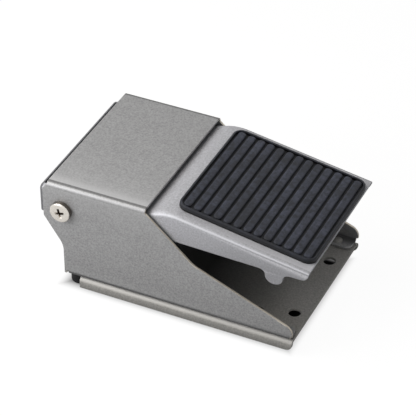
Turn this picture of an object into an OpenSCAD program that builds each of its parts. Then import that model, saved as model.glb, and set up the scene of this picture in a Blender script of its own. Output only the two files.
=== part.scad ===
// Pneumatic foot valve: a sheet-metal treadle over an upright three-port spool valve.
// Millimetres. X runs from the heel to the toe, Y across, Z up.
// The working frame has x = 0 at the rear edge of the cover's walls and z = 0 on the base plate's
// top face; in_frame() moves it so that the origin lies under the middle, on the floor.

/* [Cover] */
// Outside width across the cover's walls
cover_w = 75; // [70:0.5:90]
// Height of the cover's top face above the base plate
cover_h = 47.1; // [45.4:0.1:52]
// Sheet thickness of the cover
cover_t = 1.2; // [0.8:0.1:1.5]
// Outside radius of the bends along the top of the walls
cover_bend_r = 2.1; // [2:0.1:4]
// Length of the top, from the walls' rear edge to its front edge
top_l = 48.3; // [42:0.1:54]
// Set-back of the top's rear edge from the walls' rear edge
top_setback = 2.1; // [0.8:0.05:3]
// Drop of the walls' rear upper corners below the top face
shoulder_drop = 3.6; // [3:0.1:6]
// Height where the walls' rear edge starts to slant in
slant_top_z = 29.1; // [26:0.1:34]
// Height where that slant ends
slant_low_z = 15.8; // [10:0.1:22]
// Set-back of the walls' lower rear edge
rear_step = 8.8; // [4:0.1:10]
// Radius between the slant and the lower rear edge
rear_step_r = 8; // [2:0.5:10]
// Knee of the walls' sloping front edge, from the walls' rear edge
knee_x = 70.4; // [60:0.1:76]
// Height of the knee
knee_z = 24.9; // [20:0.05:30]
// Radius of the knee
knee_r = 12; // [4:0.5:24]
// Height of the sloping edge at the walls' nose
nose_z = 6.4; // [5.8:0.1:12]
// Radius of the nose
nose_r = 4.5; // [2:0.1:5]
// Width of the foot turned in under each wall, from the wall's outer face
foot_w = 8.2; // [7:0.1:9]
// Width of the walls' straight end behind the feet's bends
wall_end_w = 1.1; // [0.6:0.1:1.4]
// Height of that end's lower edge above the base plate
wall_end_z = 0.7; // [0.4:0.1:1.4]
// Rear end of the feet
foot_rear_x = 10.5; // [9.5:0.1:14]
// Set-back of the feet's front end from the nose
foot_front_gap = 1; // [0.5:0.1:4]
// Length of the slanted corner at the rear of each foot
foot_slant = 7; // [4:0.5:10]

/* [Base plate] */
// Front edge of the base plate, from the walls' rear edge
base_front_x = 115.5; // [108:0.5:125]
// Rear edge of the base plate
base_rear_x = 6.4; // [4:0.1:7]
// Sheet thickness of the base plate
base_t = 1.5; // [1:0.1:2]
// Depth of the turned-down rims, from the plate's top face
rim_h = 5.3; // [4:0.1:7]
// Outside radius of the bends along the rims
rim_bend_r = 2.4; // [2:0.1:3.5]
// Rear end of the rims
rim_rear_x = 15.9; // [14:0.1:30]
// Radius of the rims' lower front corner
rim_corner_r = 3; // [1:0.1:3.5]
// How much narrower the plate is at each side behind the rims
tongue_inset = 3.4; // [2.5:0.1:4.5]
// Diameter of the two floor-screw holes
mount_hole_d = 5.5; // [4:0.1:6.5]
// Distance between the floor-screw holes
mount_pitch = 38.5; // [30:0.5:44]
// Distance of the floor-screw holes from the front edge
mount_setback = 6.5; // [5:0.1:9]

/* [Rivets] */
// Diameter of a rivet's shank
rivet_d = 2.5; // [2:0.1:3]
// Diameter of a rivet's round head
rivet_head_d = 4.2; // [3.6:0.1:4.4]
// Height of a rivet's round head
rivet_head_h = 1.2; // [0.8:0.1:1.4]
// Distance of the rivets from the wall's outer face
rivet_inset = 4.8; // [4.6:0.1:5.2]
// Rear rivets, from the walls' rear edge
rivet_rear_x = 30; // [24:0.5:40]
// Front rivets, set back from the base plate's front edge
rivet_front_gap = 8; // [6:0.1:12]

/* [Rubber feet] */
// Diameter of a rubber foot
pad_foot_d = 8.5; // [7:0.1:10]
// Height of a rubber foot under the plate
pad_foot_h = 7.1; // [5:0.1:10]
// Diameter of the neck in the plate
pad_neck_d = 3.6; // [3:0.1:4]
// Diameter of the button on top of the plate
pad_button_d = 5.2; // [4.6:0.1:5.6]
// Height of that button
pad_button_h = 1.2; // [0.8:0.1:1.5]
// Rear feet, from the walls' rear edge
rear_foot_x = 11.7; // [11:0.1:12.5]
// Rear feet, in from the base plate's side
rear_foot_inset = 9.3; // [8.8:0.1:11]
// Front feet, set back from the base plate's front edge
front_foot_setback = 20.5; // [15:0.5:30]
// Front feet, in from the base plate's side
front_foot_inset = 12; // [11.5:0.1:14]

/* [Pivot] */
// Pivot axis, from the walls' rear edge
pivot_x = 9.1; // [8.5:0.1:10.5]
// Pivot axis, below the cover's top face
pivot_drop = 12.7; // [12.2:0.1:13.8]
// Diameter of the cross shaft
shaft_d = 8; // [7:0.1:9]
// Thread diameter of the pivot screws
pivot_screw_d = 5; // [4:0.1:5.5]
// Length of the pivot screws under the head
pivot_screw_l = 12; // [8:0.5:16]
// Head diameter of the pivot screws
pivot_head_d = 9.4; // [8:0.1:10.5]
// Head height of the pivot screws
pivot_head_h = 2.6; // [2:0.1:3.4]
// Width of the cross recess's arms
recess_w = 1.1; // [0.8:0.1:1.4]
// Span of the cross recess
recess_span = 4.6; // [3.6:0.1:5.4]
// Depth of the cross recess
recess_depth = 1.5; // [1:0.1:1.8]
// Turn of the cross recess from level, in degrees
recess_turn = 14; // [0:1:89]
// Wall of the pedal's bushes
bush_wall = 1; // [0.8:0.1:1.4]
// Length of the bushes inside the pedal's skirt
bush_l = 4.5; // [3:0.1:6]
// Collar of the bushes beyond their sleeve
bush_collar = 1.6; // [1:0.1:2]

/* [Pedal] */
// Sheet thickness of the pedal
pedal_t = 1.5; // [1.2:0.1:1.8]
// Gap between the pedal's skirts and the cover's walls
side_gap = 0.9; // [0.7:0.05:1.5]
// Outside radius of the bends to the skirts
pedal_bend_r = 3; // [2.5:0.1:3.3]
// How far the rear end reaches behind the cover's walls
rear_reach = 2.9; // [2.7:0.1:3.4]
// Outside radius of the heel's upper edge
heel_edge_r = 2; // [2:0.1:2.6]
// Outside radius of the heel's upright corners
heel_corner_r = 1.7; // [1.6:0.1:2.4]
// Drop of the heel's lower edge below the cover's top face
heel_drop = 17.5; // [16.3:0.1:18.3]
// Length of the slot between the heel's wall and the plate
heel_slot_l = 2.5; // [2.2:0.1:3]
// Distance of the slot's ends from the pedal's sides
heel_slot_inset = 2.1; // [1.8:0.1:6]
// Sheet that the slot leaves in front of the heel's wall
heel_lip = 0.1; // [0.05:0.05:0.2]
// Drop of the plate under the cover's sheet, at the rear
rear_drop = 3; // [2.8:0.1:4.2]
// Foot of the ramp, set back from the top's front edge
ramp_setback = 2.3; // [1.2:0.1:4]
// Drop of the plate under the cover's sheet, at the foot of the ramp
ramp_drop = 2.15; // [1.9:0.05:3.3]
// Radius at the foot of the ramp
ramp_r = 12; // [6:0.5:14]
// Crest of the pedal, ahead of the top's front edge
crest_ahead = 9.8; // [8.3:0.1:13.3]
// Rise of the crest above the cover's top face
crest_rise = 0.18; // [0:0.02:2]
// Radius of the crest
crest_r = 20; // [10:0.5:24]
// How far the pedal's tip reaches past the base plate
pedal_overhang = 5.6; // [2:0.1:9]
// Drop of the tip below the cover's top face
tip_drop = 10.5; // [8.3:0.1:13.3]
// Depth of the pivot ears below the pivot axis
ear_depth = 7; // [6.5:0.1:8]
// Reach of the pivot ears ahead of the pivot axis
ear_reach = 11; // [9:0.1:14]
// Reach of the pivot ears behind the pivot axis, where the heel's lower edge ends
ear_back = 8.3; // [7.8:0.1:9]
// Drop of the skirts' lower edge below the cover's top face, at the rear
skirt_rear_drop = 13.1; // [12.3:0.1:14.3]
// Drop of the skirts' lower edge below the cover's top face, at the tip
skirt_front_drop = 14.75; // [14.5:0.05:15.8]
// Radius of the skirts' lower front corner
skirt_corner_r = 3; // [1:0.1:3.2]
// Stop lobe on each skirt, set back from the base plate's front edge
lobe_setback = 9.8; // [8:0.1:14]
// Width of the stop lobe
lobe_w = 7.8; // [6:0.1:10]
// Drop of the stop lobe below the cover's top face
lobe_drop = 20.9; // [19.3:0.1:23.3]
// Radius where the stop lobe runs into the skirt
lobe_fillet_r = 3; // [1:0.1:3.5]

/* [Pad] */
// Width of the rubber pad
pad_w = 61; // [50:0.5:62]
// Length of the rubber pad along the slope
pad_l = 62.5; // [50:0.5:63]
// Thickness of the pad's sheet under the ribs
pad_t = 1.2; // [0.8:0.1:2]
// Height of the ribs and the rim
rib_h = 1.4; // [0.8:0.1:2]
// Number of ribs
rib_count = 13; // [8:1:15]
// Width of the grooves between the ribs
groove_w = 1.05; // [0.6:0.05:1.4]
// Width of the pad's rim
pad_rim_w = 1.1; // [0.8:0.05:2]
// Radius of the pad's corners
pad_corner_r = 4.5; // [2.5:0.1:7]
// Distance of the pad from the pedal's tip
pad_setback = 0.5; // [0.3:0.1:4]

/* [Valve block] */
// Rear face of the block, from the walls' rear edge
block_rear_x = 7; // [6.5:0.1:8]
// Length of the block
block_l = 36; // [34:0.5:40]
// Height of the block
block_h = 26; // [25.6:0.1:26.5]
// Room between the block and the outer face of each wall
block_side_room = 9.5; // [9.3:0.1:11]
// Radius of the block's upright edges
block_edge_r = 2; // [0.5:0.1:3]
// Diameter of the threaded ports
port_d = 11.8; // [9:0.1:12]
// Depth of the port threads
port_l = 11.5; // [8:0.1:12]
// Height of the port axes above the base plate
port_z = 12.9; // [11:0.1:13.5]
// Metal left between an outer port and the block's side
port_wall = 3.1; // [2.5:0.1:4]
// Diameter of the passages from the ports to the bore
passage_d = 4; // [3:0.1:4.4]
// Length of the passage plugs
passage_plug_l = 3; // [2:0.1:3.4]
// How far the passage plugs are sunk below the block's sides
passage_plug_sink = 0.3; // [0:0.1:0.6]
// Width across the flats of the plugs' sockets
plug_socket_w = 2; // [1.5:0.1:2.5]
// Thread diameter of the block's screws
block_screw_d = 4; // [3:0.1:4.5]
// Depth of the block's tapped holes
block_tap_l = 5.5; // [4:0.1:6]
// Head diameter of the block's screws
block_head_d = 7.4; // [6:0.1:8]
// Head height of the block's screws
block_head_h = 2.4; // [1.8:0.1:3]
// Front screws, set back from the block's front face
front_screw_setback = 4; // [3.5:0.1:6]
// Front screws, in from the block's sides
front_screw_inset = 6; // [4:0.1:8]
// Rear screws, ahead of the block's rear face
rear_screw_ahead = 6; // [5:0.1:8]

/* [Spool] */
// Spool axis, ahead of the pivot axis
push_arm = 18; // [17:0.1:19]
// Diameter of the two bore seats
seat_d = 9; // [8:0.1:9.6]
// Diameter of the chambers between the seats
chamber_d = 12.6; // [11.6:0.1:13]
// Depth of the bottom plug
plug_h = 4; // [3.4:0.1:4.2]
// Diameter of the bottom plug and of the gland
plug_d = 16; // [15.6:0.1:16.4]
// Height of the supply chamber above the bottom plug
supply_h = 5.2; // [5:0.1:5.3]
// Height of each bore seat
seat_h = 2.6; // [2.5:0.1:2.8]
// Height of the outlet chamber between the seats
outlet_h = 2.4; // [2.2:0.1:2.6]
// Height of the exhaust chamber above the upper seat
exhaust_h = 4.2; // [4:0.1:4.4]
// Height of the spool's lands
land_h = 2.2; // [2:0.1:2.3]
// Diameter of the spool's waist
waist_d = 4.8; // [4:0.1:5.4]
// Diameter of the spool's stem
stem_d = 6; // [5.4:0.1:6.4]
// Height of the gland
gland_h = 3.2; // [3:0.1:3.4]
// Width of a seal ring
ring_w = 1.4; // [1.1:0.05:1.5]
// Radial depth of a seal ring
ring_depth = 1.3; // [1:0.05:1.4]
// Thickness of the retaining clip
clip_t = 1; // [0.8:0.1:1.1]
// Radial width of the retaining clip
clip_w = 1.9; // [1.5:0.1:2]
// Depth of the clip's groove
clip_groove = 0.7; // [0.5:0.05:0.9]
// Opening of the retaining clip, in degrees
clip_gap_a = 50; // [30:1:70]

/* [Button and spring] */
// Diameter of the button
button_d = 12; // [11:0.1:13]
// Thickness of the button's rim
button_rim_h = 1.8; // [1.2:0.1:2.4]
// Radius of the button's dome
button_dome_r = 8; // [7:0.1:10]
// Height of the button, from its underside to the top of the dome
button_h = 4.9; // [4.4:0.1:5.2]
// Length of the stem inside the button
button_socket_l = 2.6; // [2:0.1:3]
// Mean diameter of the return spring
spring_d = 9.4; // [8.6:0.1:9.8]
// Wire diameter of the return spring
wire_d = 1.2; // [0.9:0.05:1.3]
// Number of turns of the return spring
spring_turns = 5.5; // [4:0.5:6]

/* [Clearances] */
// Radial clearance of a running fit
run_fit = 0.05; // [0.02:0.01:0.08]
// Radial clearance of a seated piece
seat_fit = 0.02; // [0.01:0.01:0.05]
// Radial clearance of a through hole round its fastener
hole_fit = 0.2; // [0.1:0.05:0.4]
// Gap between the pedal and the button at rest
push_gap = 0.25; // [0.2:0.05:0.4]
// End play of the pedal between the walls
end_play = 0.25; // [0.2:0.05:0.4]

/* [Hidden] */
$fn = 64;
eps = 0.01;
far = 200;

// Colours
sheet_grey = [0.62, 0.61, 0.59];
pedal_grey = [0.70, 0.71, 0.73];
rubber_black = [0.12, 0.13, 0.15];
nickel = [0.75, 0.72, 0.68];
alloy = [0.78, 0.79, 0.80];
brass = [0.80, 0.66, 0.36];
acetal = [0.90, 0.89, 0.85];
seal_black = [0.08, 0.08, 0.09];

// Widths
half_w = cover_w / 2;
wall_in = half_w - cover_t;
pedal_half = wall_in - side_gap;
skirt_in = pedal_half - pedal_t;

// Pivot
pivot_z = cover_h - pivot_drop;
shaft_r = shaft_d / 2;
bush_in_r = shaft_r + run_fit;
bush_out_r = bush_in_r + bush_wall;
bush_collar_t = side_gap - end_play;

// The pedal's outer surface seen from the side: corners with their bend radii, from heel to tip
under_cover = cover_h - cover_t;
pedal_rear_x = -rear_reach;
tip = [base_front_x + pedal_overhang, cover_h - tip_drop];
crest = [top_l + crest_ahead, cover_h + crest_rise];
heel_top = [pedal_rear_x, under_cover - rear_drop];
heel_inner_x = pedal_rear_x + pedal_t;
ramp_foot = [top_l - ramp_setback, under_cover - ramp_drop];
ear_low_z = pivot_z - ear_depth;
pedal_path = [[pedal_rear_x, ear_low_z], heel_top, ramp_foot, crest, tip];
pedal_radii = [0, heel_edge_r, ramp_r, crest_r, 0];
slope_a = -heading(crest, tip);

// Skirts
lobe_x = base_front_x - lobe_setback;
lobe_low_z = cover_h - lobe_drop;
lobe_r = lobe_w / 2 - 0.1;
skirt_rear_z = cover_h - skirt_rear_drop;
skirt_front_z = cover_h - skirt_front_drop;
ear_front_x = pivot_x + ear_reach;
ear_rear_x = pivot_x - ear_back;
ear_rise = skirt_rear_z - ear_low_z;
heel_low_z = cover_h - heel_drop;

// Floor level and middle
lift = base_t + pad_foot_h;
mid_x = (tip.x + pedal_rear_x) / 2;

// Rubber feet and rivets, one side: [x, y]
foot_spots = [
    [rear_foot_x, half_w - rear_foot_inset],
    [base_front_x - front_foot_setback, half_w - front_foot_inset]
];
rivet_y = half_w - rivet_inset;
rivet_spots = [[rivet_rear_x, rivet_y], [base_front_x - rivet_front_gap, rivet_y]];

// Valve block
block_half = half_w - block_side_room;
block_front_x = block_rear_x + block_l;
port_pitch = block_half - port_wall - port_d / 2;
spool_x = pivot_x + push_arm;
passage_x = spool_x - chamber_d / 2 + passage_d / 2;
block_screw_spots = [
    [block_rear_x + rear_screw_ahead, port_pitch / 2],
    [block_front_x - front_screw_setback, block_half - front_screw_inset]
];

// Heights along the spool's bore
seat_r = seat_d / 2;
chamber_r = chamber_d / 2;
plug_r = plug_d / 2;
supply_top = plug_h + supply_h;
outlet_low = supply_top + seat_h;
outlet_top = outlet_low + outlet_h;
exhaust_low = outlet_top + seat_h;
gland_low = exhaust_low + exhaust_h;
gland_top = gland_low + gland_h;
supply_z = supply_top - passage_d / 2;
outlet_z = (outlet_low + outlet_top) / 2;
exhaust_z = exhaust_low + passage_d / 2;
clip_out_r = plug_r + clip_groove - seat_fit;
clip_low = gland_top + seat_fit;

// Spool at rest: its lower land closes the lower seat, its upper land stands clear of the upper seat
land_r = seat_r - run_fit;
stem_r = stem_d / 2;
lower_land_low = supply_top + (seat_h - land_h) / 2;
upper_land_low = gland_low - land_h - (seat_h - land_h) / 2;

// Underside of the pedal above the spool, and the button below it
cover_slope = (ramp_foot.y - heel_top.y) / (ramp_foot.x - heel_top.x);
plate_z = heel_top.y + cover_slope * (spool_x - heel_top.x) - pedal_t * norm([1, cover_slope]);
button_top = plate_z - push_gap - button_dome_r * (norm([1, cover_slope]) - 1);
button_low = button_top - button_h;
stem_top = button_low + button_socket_l;
spring_l = button_low - gland_top;

function unit(v) = v / norm(v);
function heading(a, b) = atan2(b.y - a.y, b.x - a.x);

// Points of the arc of radius r that rounds the corner v between a and b
function corner(a, v, b, r, steps = 8) =
    let (
        u = unit(a - v),
        w = unit(b - v),
        half = acos(u * w) / 2,
        c = v + unit(u + w) * r / sin(half),
        from = v + u * r / tan(half) - c,
        to = v + w * r / tan(half) - c,
        first = atan2(from.y, from.x),
        turn = atan2(from.x * to.y - from.y * to.x, from * to)
    )
    [for (i = [0:steps]) c + r * [cos(first + turn * i / steps), sin(first + turn * i / steps)]];

// An outline from its corners, each with its own radius; a radius of 0 is a sharp corner
function outline(pts, radii) =
    let (n = len(pts))
    [for (i = [0:n - 1])
        each radii[i] == 0 ? [pts[i]] : corner(pts[(i + n - 1) % n], pts[i], pts[(i + 1) % n], radii[i])];

module in_frame() {
    translate([-mid_x, 0, lift]) children();
}

module both_sides() {
    children();
    mirror([0, 1, 0]) children();
}

// A flat shape drawn in x and z, given a thickness along y from y0 to y1
module side_plate(y0, y1) {
    translate([0, y1, 0]) rotate([90, 0, 0]) linear_extrude(y1 - y0) children();
}

// A section drawn in y and z, drawn out along x from x0 to x1
module along_x(x0, x1) {
    translate([x0, 0, 0]) rotate([90, 0, 90]) linear_extrude(x1 - x0) children();
}

module cross_bore(x, z, r) {
    translate([x, 0, z]) rotate([90, 0, 0]) cylinder(h = far, r = r, center = true);
}

// Quarter of a sheet bend with its centre at the origin, in the quadrant of +x and +y
module sheet_bend(r, t) {
    intersection() {
        difference() {
            circle(r);
            circle(r - t);
        }
        square(r);
    }
}

// Outline of a cover wall seen from the side
module wall_outline() {
    pts = [
        [top_setback, cover_h + 1],
        [top_l, cover_h + 1],
        [top_l, cover_h - cover_bend_r],
        [knee_x, knee_z],
        [base_front_x, nose_z],
        [base_front_x, 0],
        [rear_step, 0],
        [rear_step, slant_low_z],
        [0, slant_top_z],
        [0, cover_h - shoulder_drop],
        [top_setback, cover_h - cover_t]
    ];
    polygon(outline(pts, [0, 0, 0, knee_r, nose_r, 0, 0, rear_step_r, 1.5, 1.5, 0]));
}

// One half of the cover's section: half the top, a bend and a wall
module half_cover_section() {
    translate([-eps, cover_h - cover_t]) square([half_w - cover_bend_r + eps, cover_t]);
    translate([half_w - cover_bend_r, cover_h - cover_bend_r]) sheet_bend(cover_bend_r, cover_t);
    translate([wall_in, cover_bend_r]) square([cover_t, cover_h - 2 * cover_bend_r]);
}

// Foot under the wall on the +Y side, with its bend
module cover_foot() {
    front_x = base_front_x - foot_front_gap;
    in_y = half_w - foot_w;
    bend_y = half_w - cover_bend_r;
    along_x(foot_rear_x, front_x)
        translate([bend_y, cover_bend_r]) mirror([0, 1]) sheet_bend(cover_bend_r, cover_t);
    pts = [
        [foot_rear_x, bend_y],
        [foot_rear_x, bend_y - cover_t],
        [foot_rear_x + foot_slant, in_y],
        [front_x, in_y],
        [front_x, bend_y]
    ];
    linear_extrude(cover_t) polygon(outline(pts, [0, 0, 2, 3, 0]));
}

// Straight lower end of the wall on the +Y side, behind the foot's bend
module wall_end() {
    side_plate(wall_in, half_w) translate([rear_step, wall_end_z])
        square([wall_end_w, cover_bend_r - wall_end_z + eps]);
}

// Bent sheet: top, two walls, and a foot turned in under each wall
module cover() {
    color(sheet_grey) in_frame() difference() {
        union() {
            intersection() {
                along_x(0, base_front_x) {
                    half_cover_section();
                    mirror([1, 0]) half_cover_section();
                }
                side_plate(-half_w - 1, half_w + 1) wall_outline();
            }
            both_sides() {
                cover_foot();
                wall_end();
            }
        }
        cross_bore(pivot_x, pivot_z, pivot_screw_d / 2 + hole_fit);
        for (spot = rivet_spots) {
            both_sides() translate([spot.x, spot.y, -1])
                cylinder(h = cover_t + 2, d = rivet_d + 2 * seat_fit);
        }
    }
}

// Half of the base plate's section: half the plate, a bend and a rim
module half_base_section() {
    translate([-eps, -base_t]) square([half_w - rim_bend_r + eps, base_t]);
    translate([half_w - rim_bend_r, -rim_bend_r]) sheet_bend(rim_bend_r, base_t);
    translate([half_w - base_t, -rim_h]) square([base_t, rim_h - rim_bend_r]);
}

// Flat plate with a rim turned down along each side
module base_plate() {
    tongue_half = half_w - tongue_inset;
    tongue = [
        [rim_rear_x + 2, -tongue_half],
        [base_rear_x, -tongue_half],
        [base_rear_x, tongue_half],
        [rim_rear_x + 2, tongue_half]
    ];
    rim_side = [
        [rim_rear_x, -rim_h],
        [rim_rear_x, 1],
        [base_front_x, 1],
        [base_front_x, -rim_h]
    ];
    color(sheet_grey) in_frame() difference() {
        union() {
            intersection() {
                along_x(rim_rear_x, base_front_x) {
                    half_base_section();
                    mirror([1, 0]) half_base_section();
                }
                side_plate(-half_w - 1, half_w + 1) polygon(outline(rim_side, [0, 0, 0, rim_corner_r]));
            }
            translate([0, 0, -base_t]) linear_extrude(base_t) polygon(outline(tongue, [0, 3, 3, 0]));
        }
        both_sides() {
            plate_hole([base_front_x - mount_setback, mount_pitch / 2], mount_hole_d);
            for (spot = foot_spots) plate_hole(spot, pad_neck_d + 2 * seat_fit);
            for (spot = rivet_spots) plate_hole(spot, rivet_d + 2 * seat_fit);
            for (spot = block_screw_spots) plate_hole(spot, block_screw_d + 2 * hole_fit);
        }
    }
}

module plate_hole(spot, d) {
    translate([spot.x, spot.y, -base_t - 1]) cylinder(h = base_t + 2, d = d);
}

// Round-head rivets through the cover's feet and the base plate, headed over underneath
module cover_rivets() {
    color(sheet_grey) in_frame() for (spot = rivet_spots) {
        both_sides() translate([spot.x, spot.y, 0]) rivet();
    }
}

module rivet() {
    head_r = rivet_head_d / 2;
    dome_r = (head_r * head_r + rivet_head_h * rivet_head_h) / (2 * rivet_head_h);
    translate([0, 0, -base_t]) cylinder(h = base_t + cover_t, d = rivet_d);
    intersection() {
        translate([0, 0, cover_t + rivet_head_h - dome_r]) sphere(dome_r);
        translate([0, 0, cover_t]) cylinder(h = rivet_head_h + 1, r = head_r + 1);
    }
    translate([0, 0, -base_t - rivet_head_h / 2]) cylinder(h = rivet_head_h / 2, r = head_r);
}

// Push-in rubber feet: a tapered stud, a neck in the plate and a button above it
module rubber_feet() {
    color(rubber_black) in_frame() for (spot = foot_spots) {
        both_sides() translate([spot.x, spot.y, 0]) rotate_extrude() rubber_foot_half();
    }
}

module rubber_foot_half() {
    pts = [
        [0, -lift],
        [pad_foot_d / 2, -lift],
        [pad_foot_d / 2, -base_t],
        [pad_neck_d / 2, -base_t],
        [pad_neck_d / 2, 0],
        [pad_button_d / 2, 0],
        [pad_button_d / 2, pad_button_h],
        [0, pad_button_h]
    ];
    polygon(outline(pts, [0, 1, 0, 0, 0, 0, 0.8, 0]));
}

// Cross shaft between the walls, tapped at both ends
module pivot_shaft() {
    tap_l = pivot_screw_l + 1;
    color(nickel) in_frame() translate([pivot_x, 0, pivot_z]) rotate([90, 0, 0]) difference() {
        cylinder(h = 2 * wall_in, d = shaft_d, center = true);
        for (side = [-1, 1]) {
            translate([0, 0, side * (wall_in - tap_l / 2 + eps)])
                cylinder(h = tap_l + 2 * eps, d = pivot_screw_d + 2 * seat_fit, center = true);
        }
    }
}

// Pan-head screws through the walls into the shaft
module pivot_screws() {
    color(nickel) in_frame() both_sides()
        translate([pivot_x, half_w, pivot_z]) rotate([-90, 0, 0]) pan_screw();
}

// Pan-head screw along z, its head standing on z = 0
module pan_screw() {
    head_r = pivot_head_d / 2;
    pts = [
        [0, -pivot_screw_l],
        [pivot_screw_d / 2, -pivot_screw_l],
        [pivot_screw_d / 2, 0],
        [head_r, 0],
        [head_r, pivot_head_h],
        [0, pivot_head_h]
    ];
    difference() {
        rotate_extrude() polygon(outline(pts, [0, 0.5, 0, 0, pivot_head_h * 0.55, 0]));
        for (turn = [-recess_turn, 90 - recess_turn]) {
            rotate([0, 0, turn]) translate([-recess_span / 2, -recess_w / 2, pivot_head_h - recess_depth])
                cube([recess_span, recess_w, recess_depth + 1]);
        }
    }
}

// Flanged bushes in the pedal's ears
module pivot_bushes() {
    color(acetal) in_frame() both_sides()
        translate([pivot_x, pedal_half, pivot_z]) rotate([90, 0, 0]) difference() {
            union() {
                translate([0, 0, -bush_collar_t]) cylinder(h = bush_collar_t, r = bush_out_r + bush_collar);
                cylinder(h = pedal_t + bush_l, r = bush_out_r);
            }
            translate([0, 0, -far / 2]) cylinder(h = far, r = bush_in_r);
        }
}

// The pedal's outer face seen from the side, from the heel's wall to the tip, moved inward by t
bend_stations = [6, 3, 5];
function path_heading(i) = heading(pedal_path[i], pedal_path[i + 1]);
function moved_in(p, a, t) = p + t * [sin(a), -cos(a)];
function bend_run(i, t) =
    let (
        steps = bend_stations[i - 1],
        pts = corner(pedal_path[i - 1], pedal_path[i], pedal_path[i + 1], pedal_radii[i], steps),
        turn = path_heading(i) - path_heading(i - 1)
    )
    [for (k = [0:steps]) moved_in(pts[k], path_heading(i - 1) + turn * k / steps, t)];
function loaf_line(t, past) =
    concat(
        [for (i = [1:3]) each bend_run(i, t)],
        [moved_in(tip + past * [cos(slope_a), -sin(slope_a)], -slope_a, t)]
    );

// Half-width at x of a loaf whose rear corners are rounded by r
function loaf_half(x, rear, half, r) =
    x < rear + r ? half - r + sqrt(max(0, r * r - pow(rear + r - x, 2))) : half;

// Section of a loaf at a point p of its top line: up one side, over two edges rounded by r and down again
bend_steps = 6;
function loaf_section(p, rear, half, r, corner_r, low) =
    let (
        h = loaf_half(p.x, rear, half, corner_r),
        turns = [for (k = [0:bend_steps]) 90 * k / bend_steps],
        edge = [for (a = turns) [h - r + r * cos(a), p.y - r + r * sin(a)]]
    )
    concat(
        [[p.x, h, low]],
        [for (q = edge) [p.x, q.x, q.y]],
        [for (k = [bend_steps:-1:0]) [p.x, -edge[k].x, edge[k].y]],
        [[p.x, -h, low]]
    );

// Solid loaf: closed at the heel, flat underneath, with rounded edges along the top and at the rear
module loaf(line, rear, half, r, corner_r, low) {
    pts = [for (p = line) each loaf_section(p, rear, half, r, corner_r, low)];
    n = 2 * bend_steps + 4;
    last = len(line) - 1;
    sides = [for (i = [0:last - 1], k = [0:n - 1])
        let (a = i * n + k, b = i * n + (k + 1) % n)
        [a, a + n, b + n, b]];
    first_cap = [for (k = [0:n - 1]) k];
    last_cap = [for (k = [n - 1:-1:0]) last * n + k];
    polyhedron(pts, concat(sides, [first_cap, last_cap]));
}

// Everything above the pedal's lower edge, with the ears, the stop lobe and the round front corner
module pedal_keep() {
    pts = [
        [pedal_rear_x - 1, heel_low_z],
        [ear_rear_x, heel_low_z],
        [ear_rear_x + heel_low_z - ear_low_z, ear_low_z],
        [ear_front_x, ear_low_z],
        [ear_front_x + 2 * ear_rise, skirt_rear_z],
        [lobe_x - lobe_w / 2, skirt_front_z],
        [lobe_x - lobe_w / 2, lobe_low_z],
        [lobe_x + lobe_w / 2, lobe_low_z],
        [lobe_x + lobe_w / 2, skirt_front_z],
        [tip.x - sin(slope_a) * (skirt_front_drop - tip_drop), skirt_front_z],
        [tip.x + sin(slope_a), tip.y + cos(slope_a)],
        [tip.x + 1, crest.y + 1],
        [pedal_rear_x - 1, crest.y + 1]
    ];
    radii = [0, 2, 2, 4, 4, lobe_fillet_r, lobe_r, lobe_r, lobe_fillet_r, skirt_corner_r, 0, 0, 0];
    polygon(outline(pts, radii));
}

// Slot across the heel, which takes in the rear edge of the cover's top when the pedal goes down
module heel_slot() {
    slot_half = pedal_half - heel_slot_inset;
    translate([heel_inner_x + heel_lip, -slot_half, heel_top.y - pedal_t - 1])
        cube([heel_slot_l, 2 * slot_half, pedal_t + 2]);
}

// Pressed tray: heel, slotted plate, ramp, crest and tread, with a skirt down each side
module pedal_plate() {
    inside_r = pedal_bend_r - pedal_t;
    inside_corner_r = max(heel_corner_r - pedal_t, heel_lip);
    low = lobe_low_z - 1;
    color(pedal_grey) in_frame() difference() {
        intersection() {
            difference() {
                loaf(loaf_line(0, 0), pedal_rear_x, pedal_half, pedal_bend_r, heel_corner_r, low);
                loaf(loaf_line(pedal_t, 2), heel_inner_x, skirt_in, inside_r, inside_corner_r, low - 1);
            }
            side_plate(-half_w, half_w) pedal_keep();
        }
        heel_slot();
        cross_bore(pivot_x, pivot_z, bush_out_r + seat_fit);
    }
}

// Local frame on the tread: origin at the tip's top edge, x up the slope towards the heel
module on_tread() {
    translate([tip.x, 0, tip.y]) rotate([0, slope_a, 0]) mirror([1, 0, 0]) children();
}

module round_rect(l, w, r) {
    polygon(outline([[0, -w / 2], [l, -w / 2], [l, w / 2], [0, w / 2]], [r, r, r, r]));
}

// Ribbed rubber pad with a rim round it
module pedal_pad() {
    field_l = pad_l - 2 * pad_rim_w;
    field_w = pad_w - 2 * pad_rim_w;
    pitch = (field_l - groove_w) / rib_count;
    rib_w = pitch - groove_w;
    rib_l = field_w - 2 * groove_w;
    color(rubber_black) in_frame() on_tread() translate([pad_setback, 0, seat_fit]) {
        linear_extrude(pad_t) round_rect(pad_l, pad_w, pad_corner_r);
        translate([0, 0, pad_t]) linear_extrude(rib_h) {
            difference() {
                round_rect(pad_l, pad_w, pad_corner_r);
                translate([pad_rim_w, 0]) round_rect(field_l, field_w, pad_corner_r - pad_rim_w);
            }
            for (i = [0:rib_count - 1]) {
                translate([pad_rim_w + groove_w + i * pitch, 0]) round_rect(rib_w, rib_l, rib_w * 0.42);
            }
        }
    }
}

// Blind bore into the block's rear face, along +x
module rear_bore(y, z, l, d) {
    translate([block_rear_x - eps, y, z]) rotate([0, 90, 0]) cylinder(h = l + eps, d = d);
}

// Stretch of the spool's bore
module bore_stretch(low, top, r) {
    translate([spool_x, 0, low - eps]) cylinder(h = top - low + 2 * eps, r = r);
}

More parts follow.
